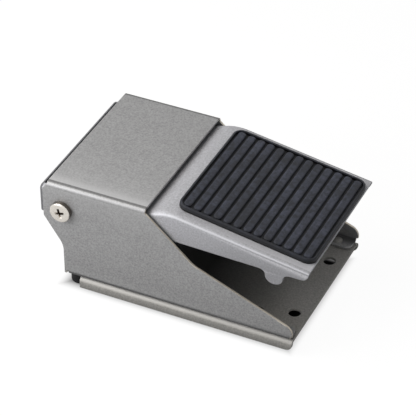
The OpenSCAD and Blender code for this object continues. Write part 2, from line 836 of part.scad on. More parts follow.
// Passage along y from the block's side to the bore, through an outer port
module side_passage(side, z) {
    translate([passage_x, 0, z]) rotate([-90 * side, 0, 0]) cylinder(h = block_half + eps, d = passage_d);
}

// Valve block with three ports to the rear and an upright stepped bore
module valve_body() {
    side = [
        [block_rear_x, -block_half],
        [block_front_x, -block_half],
        [block_front_x, block_half],
        [block_rear_x, block_half]
    ];
    edges = [block_edge_r, block_edge_r, block_edge_r, block_edge_r];
    color(alloy) in_frame() difference() {
        linear_extrude(block_h) polygon(outline(side, edges));
        bore_stretch(-1, plug_h, plug_r);
        bore_stretch(plug_h, supply_top, chamber_r);
        bore_stretch(supply_top, exhaust_low, seat_r);
        bore_stretch(outlet_low, outlet_top, chamber_r);
        bore_stretch(exhaust_low, gland_low, chamber_r);
        bore_stretch(gland_low, block_h + 1, plug_r);
        bore_stretch(gland_top, clip_low + clip_t + seat_fit, plug_r + clip_groove);
        for (y = [-port_pitch, 0, port_pitch]) rear_bore(y, port_z, port_l, port_d);
        rear_bore(0, outlet_z, spool_x - block_rear_x, outlet_h);
        for (y = [-port_pitch, port_pitch]) {
            rear_bore(y, port_z, passage_x - block_rear_x + passage_d / 2, port_d - passage_d);
        }
        side_passage(-1, supply_z);
        side_passage(1, exhaust_z);
        for (spot = block_screw_spots) {
            both_sides() translate([spot.x, spot.y, -eps])
                cylinder(h = block_tap_l + eps, d = block_screw_d + 2 * seat_fit);
        }
        both_sides() translate([rear_foot_x, foot_spots[0].y, -eps])
            cylinder(h = pad_button_h + 0.5, d = pad_button_d + 1);
    }
}

// Screws from under the base plate into the block
module valve_screws() {
    color(nickel) in_frame() for (spot = block_screw_spots) {
        both_sides() translate([spot.x, spot.y, -base_t]) block_screw();
    }
}

module block_screw() {
    pts = [
        [0, -block_head_h],
        [block_head_d / 2, -block_head_h],
        [block_head_d / 2, 0],
        [block_screw_d / 2, 0],
        [block_screw_d / 2, base_t + block_tap_l - 0.5],
        [0, base_t + block_tap_l - 0.5]
    ];
    difference() {
        rotate_extrude() polygon(outline(pts, [0, block_head_h * 0.5, 0, 0, 0.5, 0]));
        for (turn = [0, 90]) {
            rotate([0, 0, turn]) translate([-recess_span / 2, -recess_w / 2, -block_head_h - 1])
                cube([recess_span, recess_w, recess_depth + 1]);
        }
    }
}

// Plugs with hexagon sockets in the outer ends of the side passages
module passage_plugs() {
    plug_r_side = passage_d / 2 - seat_fit;
    color(brass) in_frame() for (spot = [[-1, supply_z], [1, exhaust_z]]) {
        translate([passage_x, spot[0] * (block_half - passage_plug_sink), spot[1]])
            rotate([90 * spot[0], 0, 0]) difference() {
                cylinder(h = passage_plug_l, r = plug_r_side);
                translate([0, 0, -eps])
                    cylinder(h = passage_plug_l / 2, d = plug_socket_w / cos(30), $fn = 6);
            }
    }
}

// Ring of rectangular section with softened edges: out to radius r, starting at z
module seal_ring(r, z) {
    section = [[r - ring_depth, z], [r, z], [r, z + ring_w], [r - ring_depth, z + ring_w]];
    rotate_extrude() polygon(outline(section, [0.3, 0.3, 0.3, 0.3]));
}

// Groove for such a ring in an outside face of radius r
module outside_groove(r, z) {
    difference() {
        translate([0, 0, z - seat_fit]) cylinder(h = ring_w + 2 * seat_fit, r = r + 1);
        translate([0, 0, z - 1]) cylinder(h = ring_w + 2, r = r - ring_depth - seat_fit);
    }
}

module at_spool() {
    translate([spool_x, 0, 0]) children();
}

plug_ring_z = (plug_h - ring_w) / 2;
gland_ring_z = gland_low + (gland_h - ring_w) / 2;
plug_out_r = plug_r - seat_fit;
rod_ring_r = stem_r + run_fit + ring_depth;

// Plug under the bore, standing on the base plate
module bottom_plug() {
    color(brass) in_frame() at_spool() difference() {
        cylinder(h = plug_h, r = plug_out_r);
        outside_groove(plug_out_r, plug_ring_z);
    }
}

module plug_seal() {
    color(seal_black) in_frame() at_spool() seal_ring(plug_out_r, plug_ring_z);
}

// Guide bush for the stem
module gland() {
    color(brass) in_frame() at_spool() difference() {
        translate([0, 0, gland_low]) cylinder(h = gland_h, r = plug_out_r);
        translate([0, 0, gland_low - 1]) cylinder(h = gland_h + 2, r = stem_r + run_fit);
        translate([0, 0, gland_ring_z - seat_fit])
            cylinder(h = ring_w + 2 * seat_fit, r = rod_ring_r + seat_fit);
        outside_groove(plug_out_r, gland_ring_z);
    }
}

module gland_seal() {
    color(seal_black) in_frame() at_spool() seal_ring(plug_out_r, gland_ring_z);
}

module rod_seal() {
    color(seal_black) in_frame() at_spool() seal_ring(rod_ring_r, gland_ring_z);
}

// Internal retaining ring over the gland, open at the front
module gland_clip() {
    lug_r = clip_w * 0.75;
    lug_ring_r = clip_out_r - clip_w;
    lug_a = clip_gap_a / 2 + 8;
    color(nickel) in_frame() at_spool() translate([0, 0, clip_low]) difference() {
        union() {
            rotate([0, 0, clip_gap_a / 2]) rotate_extrude(angle = 360 - clip_gap_a)
                translate([clip_out_r - clip_w, 0]) square([clip_w, clip_t]);
            for (side = [-1, 1]) {
                rotate([0, 0, side * lug_a]) translate([lug_ring_r, 0, 0]) cylinder(h = clip_t, r = lug_r);
            }
        }
        for (side = [-1, 1]) {
            rotate([0, 0, side * lug_a]) translate([lug_ring_r, 0, -1])
                cylinder(h = clip_t + 2, r = lug_r / 2);
        }
    }
}

// Turned spool: two lands, a waist between them and a stem up into the button
module spool() {
    lower_ring_z = lower_land_low + (land_h - ring_w) / 2;
    upper_ring_z = upper_land_low + (land_h - ring_w) / 2;
    color(alloy) in_frame() at_spool() difference() {
        union() {
            translate([0, 0, lower_land_low]) cylinder(h = land_h, r = land_r);
            translate([0, 0, lower_land_low]) cylinder(h = upper_land_low - lower_land_low, d = waist_d);
            translate([0, 0, upper_land_low]) cylinder(h = land_h, r = land_r);
            translate([0, 0, upper_land_low]) cylinder(h = stem_top - upper_land_low, r = stem_r);
        }
        outside_groove(land_r, lower_ring_z);
        outside_groove(land_r, upper_ring_z);
    }
}

module spool_seals() {
    color(seal_black) in_frame() at_spool() for (low = [lower_land_low, upper_land_low]) {
        seal_ring(land_r + run_fit / 2, low + (land_h - ring_w) / 2);
    }
}

// Domed button on the stem, with the spring under its rim
module spring_button() {
    color(acetal) in_frame() at_spool() difference() {
        intersection() {
            translate([0, 0, button_low]) cylinder(h = button_h + 1, d = button_d);
            union() {
                translate([0, 0, button_low]) cylinder(h = button_rim_h, d = button_d);
                translate([0, 0, button_top - button_dome_r]) sphere(button_dome_r);
            }
        }
        translate([0, 0, button_low - 1])
            cylinder(h = button_socket_l + 1 + seat_fit, r = stem_r + seat_fit);
    }
}

// Height of the spring's centre line after a given number of turns: one closed turn at each end
wire_r = wire_d / 2;
open_rise = spring_l - wire_d - 2 * wire_d;
function coil_z(turns) =
    turns < 1 ? turns * wire_d
    : turns > spring_turns - 1 ? spring_l - wire_d - (spring_turns - turns) * wire_d
    : wire_d + open_rise * (turns - 1) / (spring_turns - 2);

coil_steps = 20;
coil_sides = 10;
function coil_ring(turns) =
    [for (k = [0:coil_sides - 1])
        let (
            a = 360 * k / coil_sides,
            r = spring_d / 2 + wire_r * cos(a),
            z = wire_r + coil_z(turns) + wire_r * sin(a)
        )
        [r * cos(360 * turns), r * sin(360 * turns), z]];

// Compression spring between the gland and the button
module return_spring() {
    last = floor(spring_turns * coil_steps);
    pts = [for (i = [0:last]) each coil_ring(i / coil_steps)];
    sides = [for (i = [0:last - 1], k = [0:coil_sides - 1])
        let (a = i * coil_sides + k, b = i * coil_sides + (k + 1) % coil_sides)
        [a, a + coil_sides, b + coil_sides, b]];
    first_cap = [for (k = [0:coil_sides - 1]) k];
    last_cap = [for (k = [coil_sides - 1:-1:0]) last * coil_sides + k];
    color(nickel) in_frame() at_spool() translate([0, 0, gland_top])
        polyhedron(pts, concat(sides, [first_cap, last_cap]));
}

cover();
base_plate();
cover_rivets();
rubber_feet();
pivot_shaft();
pivot_screws();
pivot_bushes();
pedal_plate();
pedal_pad();
valve_body();
valve_screws();
passage_plugs();
bottom_plug();
plug_seal();
gland();
gland_seal();
rod_seal();
gland_clip();
spool();
spool_seals();
spring_button();
return_spring();
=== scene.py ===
# %% [markdown]
# # A pneumatic foot valve
# A bent steel cover stands on a base plate. A pressed pedal with a ribbed rubber pad turns on a cross
# shaft under the cover, and pushes the button of an upright spool valve.
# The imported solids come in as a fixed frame. Each piece below is placed in that same frame, so nothing
# has to be fitted by eye.

# %% Frame
import math

import bmesh
import bpy
from mathutils import Matrix, Vector


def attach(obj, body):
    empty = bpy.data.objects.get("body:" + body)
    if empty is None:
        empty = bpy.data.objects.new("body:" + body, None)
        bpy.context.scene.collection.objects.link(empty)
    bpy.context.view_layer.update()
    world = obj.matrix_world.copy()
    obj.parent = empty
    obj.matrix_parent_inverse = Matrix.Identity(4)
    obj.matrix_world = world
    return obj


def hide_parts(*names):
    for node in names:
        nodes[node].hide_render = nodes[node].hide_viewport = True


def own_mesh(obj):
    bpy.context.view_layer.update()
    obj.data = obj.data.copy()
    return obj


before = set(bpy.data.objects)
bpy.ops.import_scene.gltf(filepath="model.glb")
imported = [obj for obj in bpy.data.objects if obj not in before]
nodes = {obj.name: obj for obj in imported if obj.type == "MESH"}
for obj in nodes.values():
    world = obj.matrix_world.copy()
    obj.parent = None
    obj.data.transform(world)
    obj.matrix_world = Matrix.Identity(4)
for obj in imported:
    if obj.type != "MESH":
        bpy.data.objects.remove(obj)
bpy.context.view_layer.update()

scene = bpy.context.scene

# %% [markdown]
# The drawing of this valve is in millimetres, with x = 0 at the rear edge of the cover's walls and
# z = 0 on top of the base plate. The library's frame is in metres, on the floor under the middle.
# One small function turns the first into the second, so every size below reads as it does on paper.

# %% Millimetres on the drawing to metres in the frame
MM = 0.001
MID_X = 59.1
LIFT = 8.6


def at(x, y, z):
    return Vector(((x - MID_X) * MM, y * MM, (z + LIFT) * MM))


print("origin on the drawing:", tuple(round(c, 5) for c in at(0, 0, 0)))

# %% [markdown]
# The picture was taken with a long lens from a little above, so the edges hardly converge.
# Direction, distance and lens come from the corners of the cover and the base plate.

# %% Camera
CAMERA_AZIMUTH = math.radians(25.078)
CAMERA_ELEVATION = math.radians(37.159)
CAMERA_TARGET = Vector((-10.126, 22.744, 15.669)) * MM
CAMERA_DISTANCE = 917.5 * MM

camera_data = bpy.data.cameras.new("camera")
camera_data.sensor_width = 36
camera_data.lens = 178.64
camera_data.clip_start = 0.01
camera_data.clip_end = 20
camera = bpy.data.objects.new("camera", camera_data)
scene.collection.objects.link(camera)
scene.camera = camera
towards_camera = Vector((
    math.sin(CAMERA_AZIMUTH) * math.cos(CAMERA_ELEVATION),
    -math.cos(CAMERA_AZIMUTH) * math.cos(CAMERA_ELEVATION),
    math.sin(CAMERA_ELEVATION),
))
camera.location = CAMERA_TARGET + towards_camera * CAMERA_DISTANCE
camera.rotation_mode = "QUATERNION"
camera.rotation_quaternion = (-towards_camera).to_track_quat("-Z", "Y")
print("camera at", [round(c, 4) for c in camera.location])

# %% [markdown]
# Node materials are easier to read when each node is one line. These helpers add a node, set its
# sockets and link it, and the finishes further down are written with them.

# %% Node helpers


def new_material(name):
    material = bpy.data.materials.new(name)
    material.use_nodes = True
    material.node_tree.nodes.clear()
    return material


def add_node(material, kind, links=None, **values):
    tree = material.node_tree
    node = tree.nodes.new(kind)
    for key, value in values.items():
        setattr(node, key, value)
    for socket, source in (links or {}).items():
        if isinstance(source, bpy.types.NodeSocket):
            tree.links.new(source, node.inputs[socket])
        else:
            node.inputs[socket].default_value = source
    return node


def ramp(material, source, stops):
    node = add_node(material, "ShaderNodeValToRGB", {"Fac": source})
    elements = node.color_ramp.elements
    while len(elements) < len(stops):
        elements.new(0.5)
    for element, (position, shade) in zip(elements, stops):
        element.position = position
        element.color = (*shade, 1) if isinstance(shade, tuple) else (shade, shade, shade, 1)
    return node.outputs["Color"]


def output(material, surface):
    add_node(material, "ShaderNodeOutputMaterial", {"Surface": surface})
    return material


def noise(material, coords, scale, detail=2.0, roughness=0.5):
    node = add_node(
        material, "ShaderNodeTexNoise",
        {"Vector": coords, "Scale": scale, "Detail": detail, "Roughness": roughness},
    )
    return node.outputs["Fac"]


def object_coords(material):
    return add_node(material, "ShaderNodeTexCoord").outputs["Object"]


def mix_color(material, fac, a, b, blend="MIX"):
    node = add_node(material, "ShaderNodeMix", data_type="RGBA", blend_type=blend)
    tree = material.node_tree
    for index, source in ((0, fac), (6, a), (7, b)):
        if isinstance(source, bpy.types.NodeSocket):
            tree.links.new(source, node.inputs[index])
        else:
            node.inputs[index].default_value = source if index == 0 else (*source, 1)
    return node.outputs[2]


def bump(material, height, strength, distance):
    node = add_node(
        material, "ShaderNodeBump", {"Height": height, "Strength": strength, "Distance": distance}
    )
    return node.outputs["Normal"]


def principled(material, **sockets):
    return add_node(
        material, "ShaderNodeBsdfPrincipled",
        {name.replace("_", " "): value for name, value in sockets.items()},
    ).outputs["BSDF"]


def linear(r, g, b):
    """Screen colour from 0 to 1 to the linear colour that a socket takes."""
    return tuple(c / 12.92 if c <= 0.04045 else ((c + 0.055) / 1.055) ** 2.4 for c in (r, g, b))


for packed in bpy.data.materials:
    packed.name = "packed_" + packed.name
print("node helpers ready; finishes are named for the record's slots")

# %% [markdown]
# The valve was pictured on white, in the even light of big soft boxes. The floor is white and keeps a
# faint shadow: what the camera and the reflections see of it is mostly its own plain white, and the rest
# is lit. Under the base plate the white fades out, because no light gets in there, and reflections see a
# darker floor close to the valve, as they do beside any object that stands in its own soft shade.

# %% Floor
FLOOR_SIZE = 6.0
FLOOR_SHADOW = 0.15
UNDER_BASE = (57.0, 37.5)
UNDER_FADE = 9.0
SHADE_REACH = 90.0
SHADE_WHITE = 0.25
FLOOR_WHITE = 1.13
FLOOR_LIT = 0.62
# The floor's own colour under the base plate is painted dark as shade.
FLOOR_UNDER = 0.02
FLOOR_DROP = 0.0002


def add_math(tree_owner, operation, a, b=0.0):
    node = add_node(tree_owner, "ShaderNodeMath", {0: a, 1: b}, operation=operation)
    return node.outputs[0]


def seen_directly(tree_owner, in_mirror=1.0):
    """1 for what the camera or a clear piece looks at, in_mirror for reflections, 0 for other light."""
    path = add_node(tree_owner, "ShaderNodeLightPath")
    mirror = add_math(tree_owner, "MULTIPLY", path.outputs["Is Glossy Ray"], in_mirror)
    seen = add_math(tree_owner, "MAXIMUM", path.outputs["Is Camera Ray"], mirror)
    return add_math(tree_owner, "MAXIMUM", seen, path.outputs["Is Transmission Ray"])


floor_material = new_material("floor_white")
from_middle = add_node(
    floor_material, "ShaderNodeVectorMath", {0: object_coords(floor_material)}, operation="ABSOLUTE",
)
spread = add_node(floor_material, "ShaderNodeSeparateXYZ", {0: from_middle.outputs[0]})
outside = 0.0
for axis, reach in zip("XY", UNDER_BASE):
    past = add_math(floor_material, "SUBTRACT", spread.outputs[axis], (reach - UNDER_FADE) * MM)
    outside = add_math(floor_material, "MAXIMUM", outside, past)
open_floor = add_node(
    floor_material, "ShaderNodeMapRange", {0: outside, 1: 0.0, 2: UNDER_FADE * MM, 3: 0.0, 4: 1.0},
    interpolation_type="SMOOTHSTEP",
)
mirrored = add_node(
    floor_material, "ShaderNodeMapRange", {0: outside, 1: 0.0, 2: SHADE_REACH * MM, 3: SHADE_WHITE, 4: 1.0},
    interpolation_type="SMOOTHSTEP",
)
seen = seen_directly(floor_material, mirrored.outputs[0])
white_share = add_math(floor_material, "MULTIPLY", seen, open_floor.outputs[0])
share = add_math(floor_material, "MULTIPLY", white_share, 1 - FLOOR_SHADOW)
lit_colour = ramp(floor_material, open_floor.outputs[0], [(0.0, FLOOR_UNDER), (1.0, FLOOR_LIT)])
lit = add_node(floor_material, "ShaderNodeBsdfDiffuse", {"Color": lit_colour})
plain = add_node(floor_material, "ShaderNodeEmission", {"Color": (1, 1, 1, 1), "Strength": FLOOR_WHITE})
floor_mix = add_node(
    floor_material, "ShaderNodeMixShader", {0: share, 1: lit.outputs[0], 2: plain.outputs[0]},
)
output(floor_material, floor_mix.outputs[0])

bm = bmesh.new()
bmesh.ops.create_grid(bm, x_segments=1, y_segments=1, size=FLOOR_SIZE / 2)
floor_mesh = bpy.data.meshes.new("floor")
bm.to_mesh(floor_mesh)
bm.free()
floor_mesh.materials.append(floor_material)
floor = bpy.data.objects.new("floor", floor_mesh)
floor.location.z = -FLOOR_DROP
scene.collection.objects.link(floor)
print("floor", FLOOR_SIZE, "m wide")

# %% [markdown]
# The sky gives a weak even light, and is plain white where it is seen. Two soft boxes do the rest. The
# first hangs over the heel and is a little warm. The second stands low, to the left and in front: from
# there the bends along the near edges mirror it to the camera, and the cover keeps its light out of the
# room under the pedal.

# %% Light
WORLD_LIGHT = 0.11
LIGHT_AIM = Vector((0, 0, 0.02))
world = bpy.data.worlds.new("studio")
scene.world = world
world.use_nodes = True
world.node_tree.nodes.clear()
sky_light = add_node(world, "ShaderNodeBackground", {"Color": (1, 1, 1, 1), "Strength": WORLD_LIGHT})
sky_plain = add_node(world, "ShaderNodeBackground", {"Color": (1, 1, 1, 1), "Strength": 1.0})
sky_mix = add_node(
    world, "ShaderNodeMixShader",
    {0: seen_directly(world), 1: sky_light.outputs[0], 2: sky_plain.outputs[0]},
)
add_node(world, "ShaderNodeOutputWorld", {"Surface": sky_mix.outputs[0]})


def soft_box(name, place, size, watts, tint):
    lamp = bpy.data.lights.new(name, "AREA")
    lamp.shape = "RECTANGLE"
    lamp.size, lamp.size_y = size
    lamp.energy = watts
    lamp.color = tint
    stand = bpy.data.objects.new(name, lamp)
    stand.location = place
    stand.rotation_mode = "QUATERNION"
    stand.rotation_quaternion = (LIGHT_AIM - stand.location).to_track_quat("-Z", "Y")
    scene.collection.objects.link(stand)


soft_box("box_over", Vector((-0.22, -0.12, 0.42)), (0.36, 0.36), 0.98, (1.0, 0.968, 0.925))
soft_box("box_front", Vector((-0.29, -0.30, 0.24)), (0.24, 0.18), 1.08, (0.985, 0.985, 1.0))

scene.view_settings.view_transform = "Standard"
print("sky and", len(bpy.data.lights), "soft boxes")

# %% [markdown]
# The steel sheet was blasted with fine beads before it was bent, which leaves a satin grey with a grain
# of under a millimetre. A picture of steel would need unwrapped sheets and would show seams at the bends,
# so the grain is a noise in Object coordinates, which runs on through them. It shades the colour and varies
# the roughness, and a finer noise lifts the surface. A slow one keeps the large faces from looking printed.
# Light and shade are painted on at the bends: a painted highlight along the outside of a bend, a thin line
# of painted shade beside it, which is also made duller, and painted light on the sheet next to that. The
# three are kept in a vertex attribute of the sheet: red, green and blue. The sheared edge of the sheet gets
# a painted highlight, and a face attribute says where. The base plate gets painted shade under the pedal.
# It fades out towards the front edge, so it is a range along x.

# %% Satin steel
PAINTED_LIGHT_ATTRIBUTE = "painted_light"
CUT_EDGE = "cut_edge"
# Painted highlight for the sheet's sheared edge.
EDGE_HIGHLIGHT = linear(0.88, 0.85, 0.79)
GRAIN_SCALE = 1300
FINE_SCALE = 3400
CLOUD_SCALE = 30
GRAIN_SPREAD = 0.26
BLAST_DEPTH = 0.05 * MM
# Painted shade on the base plate under the pedal: its darkest factor, and where it runs.
UNDER_PEDAL_DARKEST = 0.1
UNDER_PEDAL_SHADE = (at(64, 0, 0).x, at(102, 0, 0).x, 34 * MM)
DULLED = 0.4
# Each painted light or shade: its channel, how much of it is mixed in, and its shade in times the sheet's
# own.
PAINTED_LIGHT_MIX = {"painted_sheen": (2, 0.8, 1.65), "bend_highlight": (0, 0.6, 1.3), "painted_shade": (1, 0.85, 0.22)}


def satin_steel(name, shade, roughness, metallic, contrast=1.0, shade_under_pedal=None):
    """The last argument gives painted shade under the pedal: the x where it is darkest, the x where it
    ends, and the y beyond which there is none.
    """
    material = new_material(name)
    coords = object_coords(material)
    grain = noise(material, coords, GRAIN_SCALE, 3.0, 0.62)
    fine = noise(material, coords, FINE_SCALE, 2.0, 0.5)
    cloud = noise(material, coords, CLOUD_SCALE, 3.0, 0.55)
    dark = tuple((1 - GRAIN_SPREAD * contrast) * c for c in shade)
    light = tuple(min(1.0, (1 + GRAIN_SPREAD * contrast) * c) for c in shade)
    speckle = ramp(material, grain, [(0.30, dark), (0.5, shade), (0.70, light)])
    drift = ramp(material, cloud, [(0.3, 0.93), (0.7, 1.0)])
    colour = mix_color(material, 1.0, speckle, drift, "MULTIPLY")
    painted_marks = add_node(material, "ShaderNodeAttribute", attribute_name=PAINTED_LIGHT_ATTRIBUTE)
    parts = add_node(material, "ShaderNodeSeparateColor", {0: painted_marks.outputs["Color"]})
    for channel, share, times in PAINTED_LIGHT_MIX.values():
        painted_colour = tuple(min(1.0, times * c) for c in shade)
        amount = add_math(material, "MULTIPLY", parts.outputs[channel], share)
        colour = mix_color(material, amount, colour, painted_colour)
    cut = add_node(material, "ShaderNodeAttribute", attribute_name=CUT_EDGE)
    colour = mix_color(material, cut.outputs["Fac"], colour, EDGE_HIGHLIGHT)
    if shade_under_pedal:
        darkest_x, clear_x, side_y = shade_under_pedal
        spot = add_node(material, "ShaderNodeSeparateXYZ", {0: coords}).outputs
        forward = add_node(
            material, "ShaderNodeMapRange", {0: spot["X"], 1: darkest_x, 2: clear_x, 3: UNDER_PEDAL_DARKEST, 4: 1.0},
        )
        from_middle = add_math(material, "ABSOLUTE", spot["Y"])
        aside = add_math(material, "GREATER_THAN", from_middle, side_y)
        clear = add_math(material, "MAXIMUM", forward.outputs[0], aside)
        colour = mix_color(material, 1.0, colour, clear, "MULTIPLY")
    rough = ramp(material, grain, [(0.3, roughness - 0.06), (0.7, roughness + 0.07)])
    dull = add_math(material, "MULTIPLY", parts.outputs["Green"], DULLED)
    rough = add_math(material, "ADD", rough, dull)
    surface = principled(
        material, Base_Color=colour, Metallic=metallic, Roughness=rough,
        Normal=bump(material, fine, 0.20, BLAST_DEPTH),
    )
    return output(material, surface)


cover_steel = satin_steel("cover_steel", linear(0.637, 0.637, 0.639), 0.46, 0.35)
base_steel = satin_steel("base_steel", linear(0.68, 0.672, 0.655), 0.55, 0.12, shade_under_pedal=UNDER_PEDAL_SHADE)
pedal_steel = satin_steel("pedal_steel", linear(0.765, 0.767, 0.785), 0.52, 0.12, 0.8)
print("satin steel:", cover_steel.name, base_steel.name, pedal_steel.name)

# %% [markdown]
# The pad and the feet are moulded rubber. New rubber is almost black, but the tops of the ribs are dusty,
# so they are a bluish charcoal with a slight mottle, and what lies deep in the grooves stays dark.
# The height above the tread decides which: it is kept in a vertex attribute of the pad.

# %% Rubber
MOTTLE_SCALE = 420
PATCH_SCALE = 70
MOULD_SCALE = 3800
MOULD_DEPTH = 0.05 * MM


def moulded_rubber(name, deep, dusty, height_attribute=None):
    material = new_material(name)
    coords = object_coords(material)
    mottle = noise(material, coords, MOTTLE_SCALE, 6.0, 0.68)
    fine = noise(material, coords, MOULD_SCALE, 2.0, 0.5)
    patches = noise(material, coords, PATCH_SCALE, 3.0, 0.6)
    worn = ramp(material, patches, [(0.40, 0.42), (0.62, 1.0)])
    specks = ramp(material, mottle, [(0.40, 0.3), (0.62, 1.0)])
    dust = mix_color(material, 1.0, specks, worn, "MULTIPLY")
    if height_attribute:
        raised = add_node(material, "ShaderNodeAttribute", attribute_name=height_attribute)
        dust = mix_color(material, 1.0, raised.outputs["Color"], dust, "MULTIPLY")
    colour = mix_color(material, dust, deep, dusty)
    rough = ramp(material, mottle, [(0.3, 0.50), (0.7, 0.64)])
    surface = principled(
        material, Base_Color=colour, Roughness=rough, Specular_IOR_Level=0.3,
        Normal=bump(material, fine, 0.25, MOULD_DEPTH),
    )
    return output(material, surface)


pad_rubber = moulded_rubber("pad_rubber", linear(0.078, 0.081, 0.093), linear(0.315, 0.33, 0.385), "raised")
foot_rubber = moulded_rubber("foot_rubber", linear(0.05, 0.05, 0.055), linear(0.12, 0.12, 0.125))
seal_rubber = moulded_rubber("seal_rubber", linear(0.05, 0.05, 0.055), linear(0.09, 0.09, 0.095))
print("rubber:", pad_rubber.name, foot_rubber.name, seal_rubber.name)

# %% [markdown]
# Turned and plated metal shows the lathe: fine rings or a fine streak, drawn with a noise that is stretched
# along one axis. Screws are nickel plated, the block and the spool are aluminium, the plugs and the gland
# are brass, and the spring is bright wire.

# %% Plated and machined metal
STREAK_DARK = 0.86
# Painted shade colour for the screw's recess and the side of its head.
SCREW_SHADE = linear(0.26, 0.22, 0.185)


def machined(name, shade, roughness, stretch=(1, 1, 1), scale=900, depth=0.15, shade_attribute=None):
    material = new_material(name)
    mapping = add_node(
        material, "ShaderNodeMapping", {"Vector": object_coords(material), "Scale": stretch},
    )
    streak = noise(material, mapping.outputs[0], scale, 3.0, 0.6)
    dull = tuple(STREAK_DARK * c for c in shade)
    colour = ramp(material, streak, [(0.3, dull), (0.7, shade)])
    if shade_attribute:
        hollow = add_node(material, "ShaderNodeAttribute", attribute_name=shade_attribute)
        colour = mix_color(material, hollow.outputs["Fac"], colour, SCREW_SHADE)
    rough = ramp(material, streak, [(0.3, roughness - 0.05), (0.7, roughness + 0.06)])
    surface = principled(
        material, Base_Color=colour, Metallic=1.0, Roughness=rough,
        Normal=bump(material, streak, depth, 0.04 * MM),
    )
    return output(material, surface)


screw_nickel = machined(
    "screw_nickel", linear(0.88, 0.86, 0.83), 0.28, (1, 0.2, 1), shade_attribute="screw_shade",
)
shaft_steel = machined("shaft_steel", linear(0.72, 0.72, 0.73), 0.30, (0.2, 3, 0.2))
block_aluminium = machined("block_aluminium", linear(0.80, 0.81, 0.82), 0.38, (1, 0.06, 1), 1400, 0.25)
spool_aluminium = machined("spool_aluminium", linear(0.85, 0.86, 0.87), 0.24, (0.2, 0.2, 4))
brass = machined("brass", linear(0.83, 0.68, 0.38), 0.28, (0.3, 0.3, 3))
spring_steel = machined("spring_steel", linear(0.76, 0.76, 0.77), 0.25)


def turned_plastic(name, shade):
    material = new_material(name)
    rings = noise(material, object_coords(material), 1500)
    colour = ramp(material, rings, [(0.3, tuple(0.94 * c for c in shade)), (0.7, shade)])
    surface = principled(
        material, Base_Color=colour, Roughness=0.42, Normal=bump(material, rings, 0.12, 0.03 * MM),
    )
    return output(material, surface)


acetal = turned_plastic("acetal", linear(0.90, 0.89, 0.85))
print("metal and plastic finishes:", len(bpy.data.materials))

# %% [markdown]
# Every new piece ends the same way: the bmesh becomes an object at the origin, it is shaded smooth, rides
# on a body of the frame and takes the finish of a slot. A bevel modifier then softens what is still sharp,
# and weighted normals keep the flat faces flat.

# %% Helpers that finish a piece


def make_piece(name, bm, body, finish, replaced=()):
    mesh = bpy.data.meshes.new(name)
    bm.to_mesh(mesh)
    bm.free()
    mesh.polygons.foreach_set("use_smooth", [True] * len(mesh.polygons))
    mesh.materials.append(finish)
    piece = bpy.data.objects.new(name, mesh)
    scene.collection.objects.link(piece)
    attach(piece, body)
    if replaced:
        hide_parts(*replaced)
    return piece


def soften(piece, width, segments=2, angle=40, clamp=False):
    edge = piece.modifiers.new("soft_edges", "BEVEL")
    edge.width = width * MM
    edge.segments = segments
    edge.limit_method = "ANGLE"
    edge.angle_limit = math.radians(angle)
    edge.use_clamp_overlap = clamp
    edge.material = -1
    piece.modifiers.new("flat_faces", "WEIGHTED_NORMAL")


def bake_modifiers(piece):
    graph = bpy.context.evaluated_depsgraph_get()
    mesh = bpy.data.meshes.new_from_object(piece.evaluated_get(graph))
    piece.modifiers.clear()
    piece.data = mesh


def spot_of(vert):
    return tuple(round(c, 6) for c in vert.co)


def drill(piece, cutter_bm, careful=False, operation="DIFFERENCE"):
    """Cuts a shape out of a piece, or joins it on. The points that this adds carry no painted light or
    shade.
    """
    before = {spot_of(vert) for vert in piece.data.vertices}
    mesh = bpy.data.meshes.new("cutter")
    cutter_bm.to_mesh(mesh)
    cutter_bm.free()
    cutter = bpy.data.objects.new("cutter", mesh)
    scene.collection.objects.link(cutter)
    hole = piece.modifiers.new("hole", "BOOLEAN")
    hole.operation = operation
    hole.solver = "EXACT"
    hole.use_self = careful
    hole.object = cutter
    bake_modifiers(piece)
    bpy.data.objects.remove(cutter)
    painted_marks = piece.data.attributes.get(PAINTED_LIGHT_ATTRIBUTE)
    for vert in piece.data.vertices if painted_marks else ():
        if spot_of(vert) not in before:
            painted_marks.data[vert.index].color = (0, 0, 0, 1)


def rod(bm, middle, axis, radius, length, segments=48):
    turn = Vector((0, 0, 1)).rotation_difference(Vector(axis)).to_matrix().to_4x4()
    bmesh.ops.create_cone(
        bm, cap_ends=True, segments=segments, radius1=radius * MM, radius2=radius * MM,
        depth=length * MM, matrix=Matrix.Translation(middle) @ turn,
    )


def box(bm, low, high):
    """A block between two corners, given in millimetres on the drawing."""
    made = bmesh.ops.create_cube(bm, size=1)["verts"]
    span = Vector(high) - Vector(low)
    bmesh.ops.scale(bm, vec=span * MM, verts=made)
    bmesh.ops.translate(bm, vec=at(*(Vector(low) + span / 2)), verts=made)


print("piece helpers ready")

# %% [markdown]
# A sheet piece starts as a flat blank. Its outline is a list of corners, each with a radius, and a vertex
# bevel rounds them. Crease lines are cut across the blank where it bends, and then the blank is folded:
# each point keeps its distance along the sheet, which is how a press brake works too. Boxes with rounded
# edges would look alike from afar, but a folded blank has one thickness and true radii everywhere.
# The painted light and shade at the bends are chains of points: a distance from the start of the bend, and
# the strength of the painted light or shade there. Each point of a chain gets a crease too, unless it would
# lie very close to another one, because the bevel that softens the edges later throws out spikes where an
# edge is that short.

# %% Blank, creases and fold
ARC = math.pi / 2
CREASE_GAP = 0.09
TINY = 1e-9
